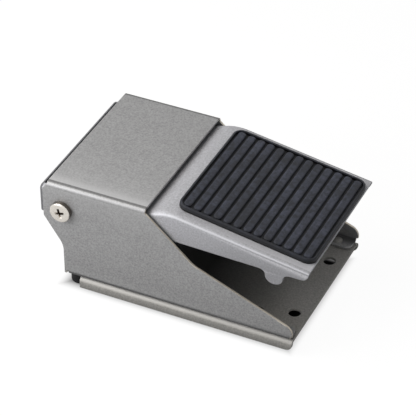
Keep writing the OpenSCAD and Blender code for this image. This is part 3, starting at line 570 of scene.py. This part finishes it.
# Painted light and shade at the cover's top bend, in mm along the sheet from the bend's start: a highlight
# round the bend, a line of shade at its start, and light on the top beside it and down the wall.
COVER_PAINTED_LIGHT = {
    "bend_highlight": [(1.2, 0), (2.0, 1), (2.6, 0.9), (3.4, 0)],
    "painted_shade": [(-0.45, 0), (-0.1, 0.65), (0.8, 0.65), (1.2, 0)],
    "painted_sheen": [
        (-30, 0), (-16, 0.1), (-9.5, 0.2), (-6.5, 0.28), (-4.5, 0.4), (-2.5, 0.8), (-0.6, 1), (-0.1, 0),
        (3.3, 0), (3.6, 0.4), (5.3, 0.22), (9, 0.14), (18, 0.05), (28, 0),
    ],
}
# A painted highlight and light on the base rim's bend, and painted shade on the rim's lower part.
RIM_PAINTED_LIGHT = {
    "bend_highlight": [(0.6, 0), (1.6, 1), (2.4, 1), (3.3, 0)],
    "painted_shade": [(2.4, 0), (3.3, 0.1), (8, 0.9)],
    "painted_sheen": [(0.6, 0), (1.6, 1), (2.4, 1), (3.3, 0)],
}
# Painted shade at the wall's lower bend, fading up the wall.
LOW_BEND_SHADE = [(-22, 0), (-14, 0.04), (-7, 0.1), (-1.4, 0.16), (-0.4, 0.45), (0.6, 1), (4.0, 1)]


def read_off(curve, spot):
    """Height of a chain of points at a spot, and 0 beyond its ends."""
    for (a, low), (b, high) in zip(curve, curve[1:]):
        if a <= spot <= b:
            return low + (high - low) * (spot - a) / (b - a)
    return 0.0


def flat_face(corners, place):
    bm = bmesh.new()
    spots = [place(a, b) for a, b, r in corners]
    verts = [bm.verts.new(p) for p in spots]
    bm.faces.new(verts)
    for i, (a, b, r) in enumerate(corners):
        if r > 0:
            before = spots[i - 1] - spots[i]
            after = spots[(i + 1) % len(spots)] - spots[i]
            bmesh.ops.bevel(
                bm, geom=[verts[i]], offset=r * MM / math.tan(before.angle(after) / 2),
                offset_type="OFFSET", segments=max(5, min(16, int(2 * r))), profile=0.5,
                affect="VERTICES", clamp_overlap=False, material=-1,
            )
    return bm


def folded_sheet(half_outline, flats, bend_r, top_z, painted_curves, steps=8):
    """half_outline: (x, distance from the middle along the sheet, radius). flats: lengths between bends."""
    bm = flat_face(half_outline, lambda x, u: at(x, u, top_z))
    starts = [flats[0], flats[0] + bend_r * ARC + flats[1]][:len(flats) - 1]
    wanted = [start + bend_r * ARC * k / steps for start in starts for k in range(steps + 1)]
    wanted += [starts[0] + spot for curve in painted_curves.values() for spot, strength in curve]
    wanted += [starts[-1] + spot for spot, strength in LOW_BEND_SHADE if len(starts) > 1]
    creases = []
    for distance in wanted:
        if all(abs(distance - taken) > CREASE_GAP for taken in creases):
            creases.append(distance)
    for distance in creases:
        bmesh.ops.bisect_plane(
            bm, geom=bm.verts[:] + bm.edges[:] + bm.faces[:], plane_co=at(0, distance, top_z),
            plane_no=(0, 1, 0), dist=1e-7,
        )
    bmesh.ops.mirror(bm, geom=bm.verts[:] + bm.edges[:] + bm.faces[:], axis="Y", merge_dist=1e-6)
    bm.normal_update()
    for face in bm.faces:
        if face.normal.z < 0:
            face.normal_flip()
    painted_marks = bm.verts.layers.float_color.new(PAINTED_LIGHT_ATTRIBUTE)
    for vert in bm.verts:
        side = 1 if vert.co.y > 0 else -1
        left = abs(vert.co.y) / MM
        bend_highlight, painted_shade, painted_sheen = (read_off(curve, left - starts[0]) for curve in painted_curves.values())
        if len(starts) > 1:
            painted_shade = max(painted_shade, read_off(LOW_BEND_SHADE, left - starts[1]))
        # The painted light beside the bend goes on the near side only.
        vert[painted_marks] = (bend_highlight, painted_shade, painted_sheen if side < 0 else 0, 1)
        y, z, heading = 0.0, top_z, 0.0
        for i, flat in enumerate(flats):
            run = left if i == len(flats) - 1 else min(left, flat)
            y += run * math.cos(heading)
            z -= run * math.sin(heading)
            left -= run
            if left <= TINY:
                break
            turn = min(left / bend_r, ARC)
            y += bend_r * (math.sin(heading + turn) - math.sin(heading))
            z += bend_r * (math.cos(heading + turn) - math.cos(heading))
            heading += turn
            left -= turn * bend_r
            if left <= TINY:
                break
        vert.co.y = side * y * MM
        vert.co.z = (z + LIFT) * MM
    return bm


def thicken(piece, thickness):
    wall = piece.modifiers.new("sheet", "SOLIDIFY")
    wall.thickness = thickness * MM
    wall.offset = -1
    wall.use_even_offset = True
    bake_modifiers(piece)


print("blank and fold helpers ready")

# %% [markdown]
# The cover is one bent sheet: a top, two side walls with a sloping front edge, and a narrow foot turned in
# along each wall's bottom. The top's rear edge is set back a little, so the walls' rear corners slant.
# Behind each foot's bend a short end of the wall stays straight, and a small block is joined on for it.

# %% Cover
HALF_W = 37.5
COVER_H = 47.1
BEND_R = 2.1
COVER_T = 1.2
BEND_L = BEND_R * ARC
TOP_FLAT = HALF_W - BEND_R
WALL_TOP = COVER_H - BEND_R
FOOT_FLAT = 8.2 - BEND_R
TOP_REAR = 2.1
TOP_FRONT = 48.3
WALL_REAR = 8.8
SHEET_FRONT = 115.5
FOOT_REAR = 10.5
FOOT_FRONT = 114.5
PIVOT = (9.1, 34.4)
SCREW_HOLE_R = 2.7
WALL_END_LOW = 0.7


def down_wall(z):
    return TOP_FLAT + BEND_L + WALL_TOP - z


wall_low = down_wall(BEND_R)
foot_start = wall_low + BEND_L
shoulder = TOP_FLAT + BEND_R * math.acos(1 - COVER_T / BEND_R)
cover_blank = [
    (TOP_REAR, 0, 0),
    (TOP_FRONT, 0, 0),
    (TOP_FRONT, down_wall(WALL_TOP), 0),
    (70.4, down_wall(24.9), 12),
    (SHEET_FRONT, down_wall(6.4), 4.5),
    (SHEET_FRONT, wall_low, 0),
    (FOOT_FRONT, wall_low, 0),
    (FOOT_FRONT, foot_start + FOOT_FLAT, 3),
    (17.5, foot_start + FOOT_FLAT, 2),
    (FOOT_REAR, foot_start + COVER_T, 0),
    (FOOT_REAR, wall_low, 0),
    (WALL_REAR, wall_low, 0),
    (WALL_REAR, down_wall(15.8), 8),
    (0, down_wall(29.1), 1.5),
    (0, down_wall(43.5), 2.2),
    (TOP_REAR, shoulder, 0),
]
cover_flats = [TOP_FLAT, WALL_TOP - BEND_R, FOOT_FLAT]
cover_bm = folded_sheet(cover_blank, cover_flats, BEND_R, COVER_H, COVER_PAINTED_LIGHT)
cover = make_piece("cover_sheet", cover_bm, "frame", cover_steel, ["cover"])
thicken(cover, COVER_T)
hole_bm = bmesh.new()
rod(hole_bm, at(PIVOT[0], 0, PIVOT[1]), (0, 1, 0), SCREW_HOLE_R, 100)
drill(cover, hole_bm)
end_bm = bmesh.new()
for low_y in (-HALF_W, HALF_W - COVER_T):
    box(end_bm, (WALL_REAR, low_y, WALL_END_LOW), (9.9, low_y + COVER_T, 4.0))
drill(cover, end_bm, operation="UNION")
# The sheared front edges of the walls get the painted highlight.
cut = cover.data.attributes.new(CUT_EDGE, "FLOAT", "FACE")
for face in cover.data.polygons:
    in_wall = abs(face.center.y) > (HALF_W - COVER_T) * MM
    front = face.normal.x > 0.1 and abs(face.normal.y) < 0.2
    cut.data[face.index].value = 1.0 if in_wall and front else 0.0
soften(cover, 0.28, 3)
print("cover:", len(cover.data.polygons), "faces before its edges are softened")

# %% [markdown]
# The base plate is a second bent sheet, with a rim turned down along each side. Behind the rims it is a
# little narrower, where it carries the rear feet. Two holes near the front edge take the floor screws.

# %% Base plate
BASE_T = 1.5
RIM_R = 2.4
PLATE_FLAT = HALF_W - RIM_R
RIM_FLAT = 5.3 - RIM_R
PLATE_REAR = 6.4
RIM_REAR = 15.9
REAR_HALF = 34.1
FLOOR_HOLE = (109, 19.25)
FLOOR_HOLE_R = 2.75
rim_edge = PLATE_FLAT + RIM_R * ARC + RIM_FLAT
base_blank = [
    (PLATE_REAR, 0, 0),
    (SHEET_FRONT, 0, 0),
    (SHEET_FRONT, rim_edge, 3),
    (RIM_REAR, rim_edge, 0),
    (RIM_REAR, REAR_HALF, 0),
    (PLATE_REAR, REAR_HALF, 3),
]
base_bm = folded_sheet(base_blank, [PLATE_FLAT, RIM_FLAT], RIM_R, 0, RIM_PAINTED_LIGHT)
base = make_piece("base_sheet", base_bm, "frame", base_steel, ["base_plate"])
thicken(base, BASE_T)
hole_bm = bmesh.new()
for side in (-1, 1):
    rod(hole_bm, at(FLOOR_HOLE[0], side * FLOOR_HOLE[1], 0), (0, 0, 1), FLOOR_HOLE_R, 20)
drill(base, hole_bm)
soften(base, 0.25, 3)
print("base plate:", len(base.data.polygons), "faces before its edges are softened")

# %% [markdown]
# Rivets, rubber feet and screw heads are round, so each starts as half a section and is spun about its
# axis. The section is a short chain of points, and a bevel of its corners gives the turned radii. Stacked
# cylinders would need their edges rounded afterwards, and would leave faces inside.

# %% Spun pieces


def spun(section, segments=48):
    """section: (radius, height, corner radius), from the axis at the bottom to the axis at the top."""
    bm = bmesh.new()
    verts = [bm.verts.new((r * MM, 0, z * MM)) for r, z, c in section]
    for a, b in zip(verts, verts[1:]):
        bm.edges.new((a, b))
    spots = [v.co.copy() for v in verts]
    for i, (r, z, c) in enumerate(section):
        if c > 0:
            before = spots[i - 1] - spots[i]
            after = spots[i + 1] - spots[i]
            bmesh.ops.bevel(
                bm, geom=[verts[i]], offset=c * MM / math.tan(before.angle(after) / 2),
                offset_type="OFFSET", segments=5, profile=0.5, affect="VERTICES", clamp_overlap=False,
                material=-1,
            )
    bmesh.ops.spin(
        bm, geom=bm.verts[:] + bm.edges[:], cent=(0, 0, 0), axis=(0, 0, 1), angle=2 * math.pi,
        steps=segments, use_merge=True,
    )
    bmesh.ops.remove_doubles(bm, verts=bm.verts[:], dist=1e-7)
    bmesh.ops.recalc_face_normals(bm, faces=bm.faces[:])
    return bm


def copies(bm, places):
    """One mesh with a copy of bm at each matrix."""
    mesh = bpy.data.meshes.new("shape")
    bm.to_mesh(mesh)
    bm.free()
    out = bmesh.new()
    for place in places:
        first = len(out.verts)
        out.from_mesh(mesh)
        out.verts.ensure_lookup_table()
        bmesh.ops.transform(out, matrix=place, verts=out.verts[first:])
    bpy.data.meshes.remove(mesh)
    return out


def standing(spots, z):
    return [Matrix.Translation(at(x, side * y, z)) for x, y in spots for side in (-1, 1)]


RIVET_SPOTS = [(30, 32.7), (107.5, 32.7)]
RIVET_HEAD_R = 2.1
RIVET_SHANK_R = 1.25
DOME_STEPS = 8
rivet = [
    (0, -2.1, 0), (RIVET_HEAD_R, -2.1, 0.3), (RIVET_HEAD_R, -BASE_T, 0), (RIVET_SHANK_R, -BASE_T, 0),
    (RIVET_SHANK_R, COVER_T, 0), (RIVET_HEAD_R, COVER_T, 0),
]
for step in range(1, DOME_STEPS):
    lift = ARC * step / DOME_STEPS
    rivet.append((RIVET_HEAD_R * math.cos(lift), COVER_T + 1.2 * math.sin(lift), 0))
rivet.append((0, COVER_T + 1.2, 0))
rivets = make_piece(
    "rivets", copies(spun(rivet, 32), standing(RIVET_SPOTS, 0)), "frame", base_steel, ["cover_rivets"],
)

FOOT_SPOTS = [(11.7, 28.2), (95, 25.5)]
FOOT_R = 4.25
NECK_R = 1.8
FOOT_BUTTON_R = 2.6
foot = [
    (0, -LIFT, 0), (FOOT_R, -LIFT, 1), (FOOT_R, -BASE_T, 0.3), (NECK_R, -BASE_T, 0),
    (NECK_R, 0, 0), (FOOT_BUTTON_R, 0, 0), (FOOT_BUTTON_R, 1.2, 0.8), (0, 1.2, 0),
]
feet = make_piece(
    "feet", copies(spun(foot), standing(FOOT_SPOTS, 0)), "frame", foot_rubber, ["rubber_feet"],
)
print("spun:", rivets.name, feet.name)

# %% [markdown]
# A pan-head screw holds each wall to the cross shaft. Its head is spun, and a cross recess with tapering
# arms is cut into it with a boolean, because a painted cross would stay flat when the light moves. The
# recess and the side of the head get painted shade, which an attribute keeps: it is full in the recess, a
# little less on the side, and 0 on the face.

# %% Pivot screws
HEAD_R = 4.7
HEAD_H = 2.6
SHANK_R = 2.5
SHANK_L = 12
RECESS_TURNS = (14, 104)
RECESS_DEPTH = 1.5
RECESS_R = 2.6
screw = [
    (0, -SHANK_L, 0), (SHANK_R, -SHANK_L, 0.5), (SHANK_R, 0, 0), (HEAD_R, 0, 0.25),
    (HEAD_R, HEAD_H, 0.7), (0, HEAD_H, 0),
]


def recess_arm(bm, turn):
    made = bmesh.ops.create_cube(bm, size=1)["verts"]
    for vert in made:
        top = vert.co.z > 0
        vert.co.x *= (5.0 if top else 2.6) * MM
        vert.co.y *= (1.2 if top else 0.8) * MM
        vert.co.z = (HEAD_H + 0.3 if top else HEAD_H - RECESS_DEPTH) * MM
    bmesh.ops.rotate(bm, verts=made, cent=(0, 0, 0), matrix=Matrix.Rotation(turn, 3, "Z"))


screw_places = []
for side in (-1, 1):
    screw_places.append(
        Matrix.Translation(at(PIVOT[0], side * HALF_W, PIVOT[1])) @ Matrix.Rotation(-side * ARC, 4, "X")
    )
pivot_screws = make_piece(
    "pivot_screw_heads", copies(spun(screw, 64), screw_places), "frame", screw_nickel, ["pivot_screws"],
)
for side, place in zip((-1, 1), screw_places):
    for turn in RECESS_TURNS:
        arm_bm = bmesh.new()
        recess_arm(arm_bm, math.radians(-side * turn))
        drill(pivot_screws, copies(arm_bm, [place]))
screw_shade = pivot_screws.data.attributes.new("screw_shade", "FLOAT", "POINT")
for vert in pivot_screws.data.vertices:
    height = abs(vert.co.y) / MM - HALF_W
    radius = (vert.co - at(PIVOT[0], vert.co.y / MM, PIVOT[1])).length / MM
    in_recess = radius < RECESS_R and 0.5 < height < HEAD_H - 0.1
    on_side = radius > HEAD_R - 0.1 and height < HEAD_H - 0.5
    screw_shade.data[vert.index].value = 1.0 if in_recess else 0.8 if on_side else 0.0
soften(pivot_screws, 0.1, 2, 35, clamp=True)
print("pivot screws:", len(pivot_screws.data.polygons), "faces")

# %% [markdown]
# The pedal is pressed from one sheet: an upright heel, a flat plate, a ramp, a soft crest and a sloping
# tread, with a skirt down each side and a stop lobe under it. The side view is drawn once and extruded
# across the width. The faces that the real tray doesn't have are deleted, and the long edges get their bend
# radius from a bevel, a smaller one at the heel's upright corners. A slot behind the plate takes in the
# rear edge of the cover's top when the pedal goes down.

# %% Pedal
PEDAL_HALF = 35.4
PEDAL_T = 1.5
PEDAL_BEND = 2.2
HEEL_CORNER = 1.7
HEEL_EDGE = 2.0
TIP = Vector((121.1, 36.6))
CREST = Vector((58.1, 47.28))
SLOPE = math.atan2(CREST.y - TIP.y, TIP.x - CREST.x)
HEEL_X = -2.9
HEEL_TOP = 42.9
HEEL_LOW = 29.6
SKIRT_END = 32.35
LOBE_LOW = 26.2
EAR_LOW = 27.4
BEARING_R = 5.07
SLOT_LOW = (-1.3, -33.3, 40.4)
SLOT_HIGH = (1.2, 33.3, 44.9)
pedal_side = [
    (HEEL_X, HEEL_LOW, 0),
    (HEEL_X, HEEL_TOP, 0),
    (46.0, 43.75, 12),
    (CREST.x, CREST.y, 20),
    (TIP.x, TIP.y, 0),
    (TIP.x - math.sin(SLOPE) * (TIP.y - SKIRT_END), SKIRT_END, 3),
    (109.6, SKIRT_END, 3),
    (109.6, LOBE_LOW, 3.8),
    (101.8, LOBE_LOW, 3.8),
    (101.8, SKIRT_END, 3),
    (33.3, 34.0, 4),
    (20.1, EAR_LOW, 4),
    (3.0, EAR_LOW, 2),
    (0.8, HEEL_LOW, 2),
]
pedal_bm = flat_face(pedal_side, lambda x, z: at(x, -PEDAL_HALF, z))
grown = bmesh.ops.extrude_face_region(pedal_bm, geom=pedal_bm.faces[:])
far_side = [g for g in grown["geom"] if isinstance(g, bmesh.types.BMVert)]
bmesh.ops.translate(pedal_bm, verts=far_side, vec=(0, 2 * PEDAL_HALF * MM, 0))
bmesh.ops.recalc_face_normals(pedal_bm, faces=pedal_bm.faces[:])
heel_end = at(HEEL_X + 0.5, 0, 0).x


def not_in_tray(face):
    side = abs(face.normal.y) > 0.9
    top = face.normal.z > 0.3
    heel = face.normal.x < -0.3 and face.calc_center_median().x < heel_end
    return not (side or top or heel)


bmesh.ops.delete(pedal_bm, geom=[f for f in pedal_bm.faces if not_in_tray(f)], context="FACES")
bend_share = pedal_bm.edges.layers.float.new("bevel_weight_edge")
for edge in pedal_bm.edges:
    if len(edge.link_faces) < 2 or edge.calc_face_angle() < math.radians(60):
        continue
    along = (edge.verts[0].co - edge.verts[1].co).normalized()
    if abs(along.y) > 0.9:
        edge[bend_share] = HEEL_EDGE / PEDAL_BEND
    elif abs(along.z) > 0.9:
        edge[bend_share] = HEEL_CORNER / PEDAL_BEND
    else:
        edge[bend_share] = 1
pedal = make_piece("pedal_tray", pedal_bm, "pedal", pedal_steel, ["pedal_plate"])
bends = pedal.modifiers.new("bends", "BEVEL")
bends.affect = "EDGES"
bends.limit_method = "WEIGHT"
bends.width = PEDAL_BEND * MM
bends.segments = 12
bends.profile = 0.5
bends.use_clamp_overlap = False
bends.material = -1
bake_modifiers(pedal)
thicken(pedal, PEDAL_T)
hole_bm = bmesh.new()
rod(hole_bm, at(PIVOT[0], 0, PIVOT[1]), (0, 1, 0), BEARING_R, 100)
drill(pedal, hole_bm)
slot_bm = bmesh.new()
box(slot_bm, SLOT_LOW, SLOT_HIGH)
drill(pedal, slot_bm, True)
print("pedal:", len(pedal.data.polygons), "faces before its edges are softened")

# %% [markdown]
# The pedal's painted light and shade are set once it is bent and cut, from where each point lies: its lean
# is 0 degrees on the plate, 90 on the skirt, and between them round the bend. The bend gets a painted
# highlight line with a faint line of painted shade above it, and the line is weaker behind the crest. The
# tread is painted lighter towards the tip. The heel and the lower edge of the skirt get painted shade.

# %% Marks on the pedal
PEDAL_HIGHLIGHT = [(44, 0), (52, 1), (64, 1), (72, 0)]
PEDAL_SHADE_LINE = [(14, 0), (22, 0.12), (32, 0.12), (40, 0)]
BEHIND_CREST = 0.6
FLAT_LEAN = 8
SKIRT_LEAN = 85
TREAD_PAINTED_LIGHT = 0.65
HEEL_SHADE_X = -1.2
SKIRT_LOW = 34.2
SKIRT_SHADE = 0.42
painted_marks = pedal.data.attributes.new(PAINTED_LIGHT_ATTRIBUTE, "FLOAT_COLOR", "POINT")
for vert in pedal.data.vertices:
    x = vert.co.x / MM + MID_X
    z = vert.co.z / MM - LIFT
    round_bend = (abs(vert.co.y) / MM - PEDAL_HALF) / PEDAL_BEND + 1
    lean = math.degrees(math.asin(min(1.0, max(0.0, round_bend))))
    # Painted shade: a faint line above the bend, all of the heel, and the skirt's lower edge.
    painted_shade = read_off(PEDAL_SHADE_LINE, lean)
    if x < HEEL_SHADE_X:
        painted_shade = 1.0
    elif lean > SKIRT_LEAN and z < SKIRT_LOW:
        painted_shade = SKIRT_SHADE
    # Painted highlight: a line round the bend, weaker behind the crest, and the tread painted lighter
    # towards the tip.
    bright = read_off(PEDAL_HIGHLIGHT, lean) * (1.0 if x > CREST.x else BEHIND_CREST)
    if lean < FLAT_LEAN and z > TIP.y - 1:
        bright = TREAD_PAINTED_LIGHT * max(0.0, (x - CREST.x) / (TIP.x - CREST.x))
    painted_marks.data[vert.index].color = (bright, painted_shade, bright, 1)
soften(pedal, 0.3, 3, clamp=True)
print("marks on", len(painted_marks.data), "points of the pedal")

# %% [markdown]
# The pad is a rubber sheet with a rim and ribs across it. The rim is the border of an inset, raised, and
# its outer edge is rounder than its inner one. Each rib is a rounded bar set on the sheet, with its top
# edges rolled over. Bump could draw ribs too, but these stand more than a millimetre high and shade each
# other. An attribute keeps the height above the sheet for the dust, with less on the rim.

# %% Rubber pad
PAD_W = 61.0
PAD_L = 62.5
PAD_T = 1.05
RIB_H = 1.25
RIB_COUNT = 13
GROOVE = 0.95
RIB_END = 0.6
RIM = 1.1
RIM_DUST = 0.4
RIM_OUTER_R = 0.75
RIM_INNER_R = 0.3
RIB_EDGE_R = 0.8
PAD_CORNER = 4.5
PAD_SETBACK = 0.3
SEAT_GAP = 0.02
uphill = Vector((-math.cos(SLOPE), 0, math.sin(SLOPE)))
out_of_tread = Vector((math.sin(SLOPE), 0, math.cos(SLOPE)))
pad_origin = at(TIP.x, 0, TIP.y) + uphill * PAD_SETBACK * MM + out_of_tread * SEAT_GAP * MM
on_tread = Matrix((
    (uphill.x, 0, out_of_tread.x, pad_origin.x),
    (0, -1, 0, pad_origin.y),
    (uphill.z, 0, out_of_tread.z, pad_origin.z),
    (0, 0, 0, 1),
))


def bar(length, width, low, high, corner_r, edge_r=0):
    """A bar from 0 to length, width wide about the middle, with rounded corners and top edges."""
    outline = [(0, -width / 2), (length, -width / 2), (length, width / 2), (0, width / 2)]
    bm = flat_face(
        [(along, across, corner_r) for along, across in outline],
        lambda a, b: Vector((a * MM, b * MM, low * MM)),
    )
    grown = bmesh.ops.extrude_face_region(bm, geom=bm.faces[:])
    lifted = [g for g in grown["geom"] if isinstance(g, bmesh.types.BMVert)]
    bmesh.ops.translate(bm, verts=lifted, vec=(0, 0, (high - low) * MM))
    bmesh.ops.recalc_face_normals(bm, faces=bm.faces[:])
    if edge_r:
        rim = [e for e in bm.edges if all(v.co.z > (high - 0.01) * MM for v in e.verts)]
        bmesh.ops.bevel(
            bm, geom=rim, offset=edge_r * MM, offset_type="OFFSET", segments=4, profile=0.5,
            affect="EDGES", clamp_overlap=False, material=-1,
        )
    return bm


pad_bm = bar(PAD_L, PAD_W, 0, PAD_T, PAD_CORNER)
top_face = max(pad_bm.faces, key=lambda f: f.calc_center_median().z)
ring = bmesh.ops.inset_region(pad_bm, faces=[top_face], thickness=RIM * MM, use_even_offset=True)
grown = bmesh.ops.extrude_face_region(pad_bm, geom=ring["faces"])
lifted = [g for g in grown["geom"] if isinstance(g, bmesh.types.BMVert)]
bmesh.ops.translate(pad_bm, verts=lifted, vec=(0, 0, RIB_H * MM))


def mark_raised(bm, share):
    raised = bm.verts.layers.float_color.new("raised")
    for vert in bm.verts:
        up = share * min(1.0, max(0.0, (vert.co.z / MM - PAD_T) / RIB_H))
        vert[raised] = (up, up, up, 1)


def faces_out(edge):
    wall = min(edge.link_faces, key=lambda f: f.calc_center_median().z)
    return wall.normal.dot(wall.calc_center_median() - Vector((PAD_L / 2 * MM, 0, 0))) > 0


def round_rim(outer, radius):
    top = (PAD_T + RIB_H - 0.01) * MM
    on_top = [e for e in pad_bm.edges if min(v.co.z for v in e.verts) > top]
    sharp = [e for e in on_top if e.calc_face_angle(0) > 0.5]
    bmesh.ops.bevel(
        pad_bm, geom=[e for e in sharp if faces_out(e) == outer], offset=radius * MM,
        offset_type="OFFSET", segments=4, profile=0.5, affect="EDGES", clamp_overlap=False, material=-1,
    )


bmesh.ops.recalc_face_normals(pad_bm, faces=pad_bm.faces[:])
round_rim(True, RIM_OUTER_R)
round_rim(False, RIM_INNER_R)
mark_raised(pad_bm, RIM_DUST)
pitch = (PAD_L - 2 * RIM - GROOVE) / RIB_COUNT
rib_w = pitch - GROOVE
rib_l = PAD_W - 2 * RIM - 2 * RIB_END
rib_bm = bar(rib_w, rib_l, PAD_T - 0.1, PAD_T + RIB_H, rib_w * 0.42, RIB_EDGE_R)
mark_raised(rib_bm, 1)
rib_places = [Matrix.Translation(((RIM + GROOVE + i * pitch) * MM, 0, 0)) for i in range(RIB_COUNT)]
rib_field = copies(rib_bm, rib_places)
rib_mesh = bpy.data.meshes.new("ribs")
rib_field.to_mesh(rib_mesh)
rib_field.free()
pad_bm.from_mesh(rib_mesh)
bpy.data.meshes.remove(rib_mesh)
bmesh.ops.transform(pad_bm, matrix=on_tread, verts=pad_bm.verts[:])
bmesh.ops.recalc_face_normals(pad_bm, faces=pad_bm.faces[:])
pad = make_piece("rubber_pad", pad_bm, "pedal", pad_rubber, ["pedal_pad"])
pad.modifiers.new("flat_faces", "WEIGHTED_NORMAL")
print("pad:", RIB_COUNT, "ribs,", len(pad.data.polygons), "faces")

# %% [markdown]
# The three ports are tapped. Each thread is a small triangle that is spun about the port's axis while it
# moves along it: a spin with a step along its axis makes a helix. From behind, the ports are the first
# thing that is seen, so the threads are real ridges.

# %% Port threads
THREAD_PITCH = 1.337
THREAD_TURNS = 8
THREAD_STEPS = 36
THREAD_START = 7.5
PORT_R = 5.9
PORT_Z = 12.9
PORT_SPOTS = (-19, 0, 19)
thread_bm = bmesh.new()
for port_y in PORT_SPOTS:
    ridge = [
        thread_bm.verts.new(at(THREAD_START + along * THREAD_PITCH, port_y, PORT_Z + radius))
        for along, radius in ((0.05, PORT_R + 0.05), (0.5, PORT_R - 0.4), (0.95, PORT_R + 0.05))
    ]
    section = thread_bm.faces.new(ridge)
    bmesh.ops.spin(
        thread_bm, geom=[section], cent=at(0, port_y, PORT_Z), axis=(1, 0, 0),
        angle=2 * math.pi * THREAD_TURNS, steps=THREAD_TURNS * THREAD_STEPS,
        dvec=(THREAD_PITCH / THREAD_STEPS * MM, 0, 0),
    )
bmesh.ops.recalc_face_normals(thread_bm, faces=thread_bm.faces[:])
threads = make_piece("port_threads", thread_bm, "frame", block_aluminium)
soften(threads, 0.06, 2, 35, clamp=True)
print("threads:", len(threads.data.polygons), "faces in", len(PORT_SPOTS), "ports")

# %% [markdown]
# The return spring stands between the gland and the button. It is wound in the same way from a circle of
# wire, in three spins: a closed turn, the open turns and a closed turn, each going on from the end of the
# one before.

# %% Return spring
WIRE_R = 0.6
WIRE_SIDES = 14
COIL_R = 4.7
COIL_TURNS = 5.5
COIL_STEPS = 48
SPRING_REST = 12.57
SPRING_LOW = 24.2
SPOOL_X = 27.1
closed_rise = 2 * WIRE_R
open_pitch = (SPRING_REST - 3 * closed_rise) / (COIL_TURNS - 2)
spring_bm = bmesh.new()
wire = bmesh.ops.create_circle(spring_bm, segments=WIRE_SIDES, radius=WIRE_R * MM)["verts"]
bmesh.ops.rotate(spring_bm, verts=wire, cent=(0, 0, 0), matrix=Matrix.Rotation(ARC, 3, "X"))
bmesh.ops.translate(spring_bm, verts=wire, vec=at(SPOOL_X + COIL_R, 0, SPRING_LOW + WIRE_R))
wire_end = spring_bm.verts[:] + spring_bm.edges[:]
for turns, rise in ((1, closed_rise), (COIL_TURNS - 2, open_pitch), (1, closed_rise)):
    wire_end = bmesh.ops.spin(
        spring_bm, geom=wire_end, cent=at(SPOOL_X, 0, 0), axis=(0, 0, 1), angle=2 * math.pi * turns,
        steps=int(turns * COIL_STEPS), dvec=(0, 0, rise / COIL_STEPS * MM),
    )["geom_last"]
bmesh.ops.holes_fill(spring_bm, edges=spring_bm.edges[:], sides=WIRE_SIDES)
bmesh.ops.recalc_face_normals(spring_bm, faces=spring_bm.faces[:])
spring = make_piece("coil_spring", spring_bm, "frame", spring_steel, ["return_spring"])
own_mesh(spring)
print("spring:", COIL_TURNS, "turns,", len(spring.data.polygons), "faces")

# %% [markdown]
# The inner pieces keep their solids, because their shapes are right and the cover hides most of them. They
# get their finishes here, and the parts that were cut on a lathe or a mill get a fine chamfer from
# modifiers: their triangles are welded, flat ones are joined, and a bevel takes the edges that are left.

# %% Finishes on the inner pieces
INNER_CHAMFER = 0.25
inner_finish = {
    "pivot_shaft": shaft_steel,
    "pivot_bushes": acetal,
    "valve_body": block_aluminium,
    "valve_screws": screw_nickel,
    "passage_plugs": brass,
    "bottom_plug": brass,
    "plug_seal": seal_rubber,
    "gland": brass,
    "gland_seal": seal_rubber,
    "rod_seal": seal_rubber,
    "gland_clip": spring_steel,
    "spool": spool_aluminium,
    "spool_seals": seal_rubber,
    "spring_button": acetal,
}
for name, finish in inner_finish.items():
    solid = nodes[name]
    solid.data.materials.clear()
    solid.data.materials.append(finish)
for name in ("valve_body", "bottom_plug", "gland", "pivot_shaft", "pivot_bushes", "spring_button"):
    seams = nodes[name].modifiers.new("seams", "WELD")
    seams.merge_threshold = 0.001 * MM
    flats = nodes[name].modifiers.new("flats", "DECIMATE")
    flats.decimate_type = "DISSOLVE"
    flats.angle_limit = math.radians(1)
    soften(nodes[name], INNER_CHAMFER, clamp=True)
print("finished inner pieces:", len(inner_finish))
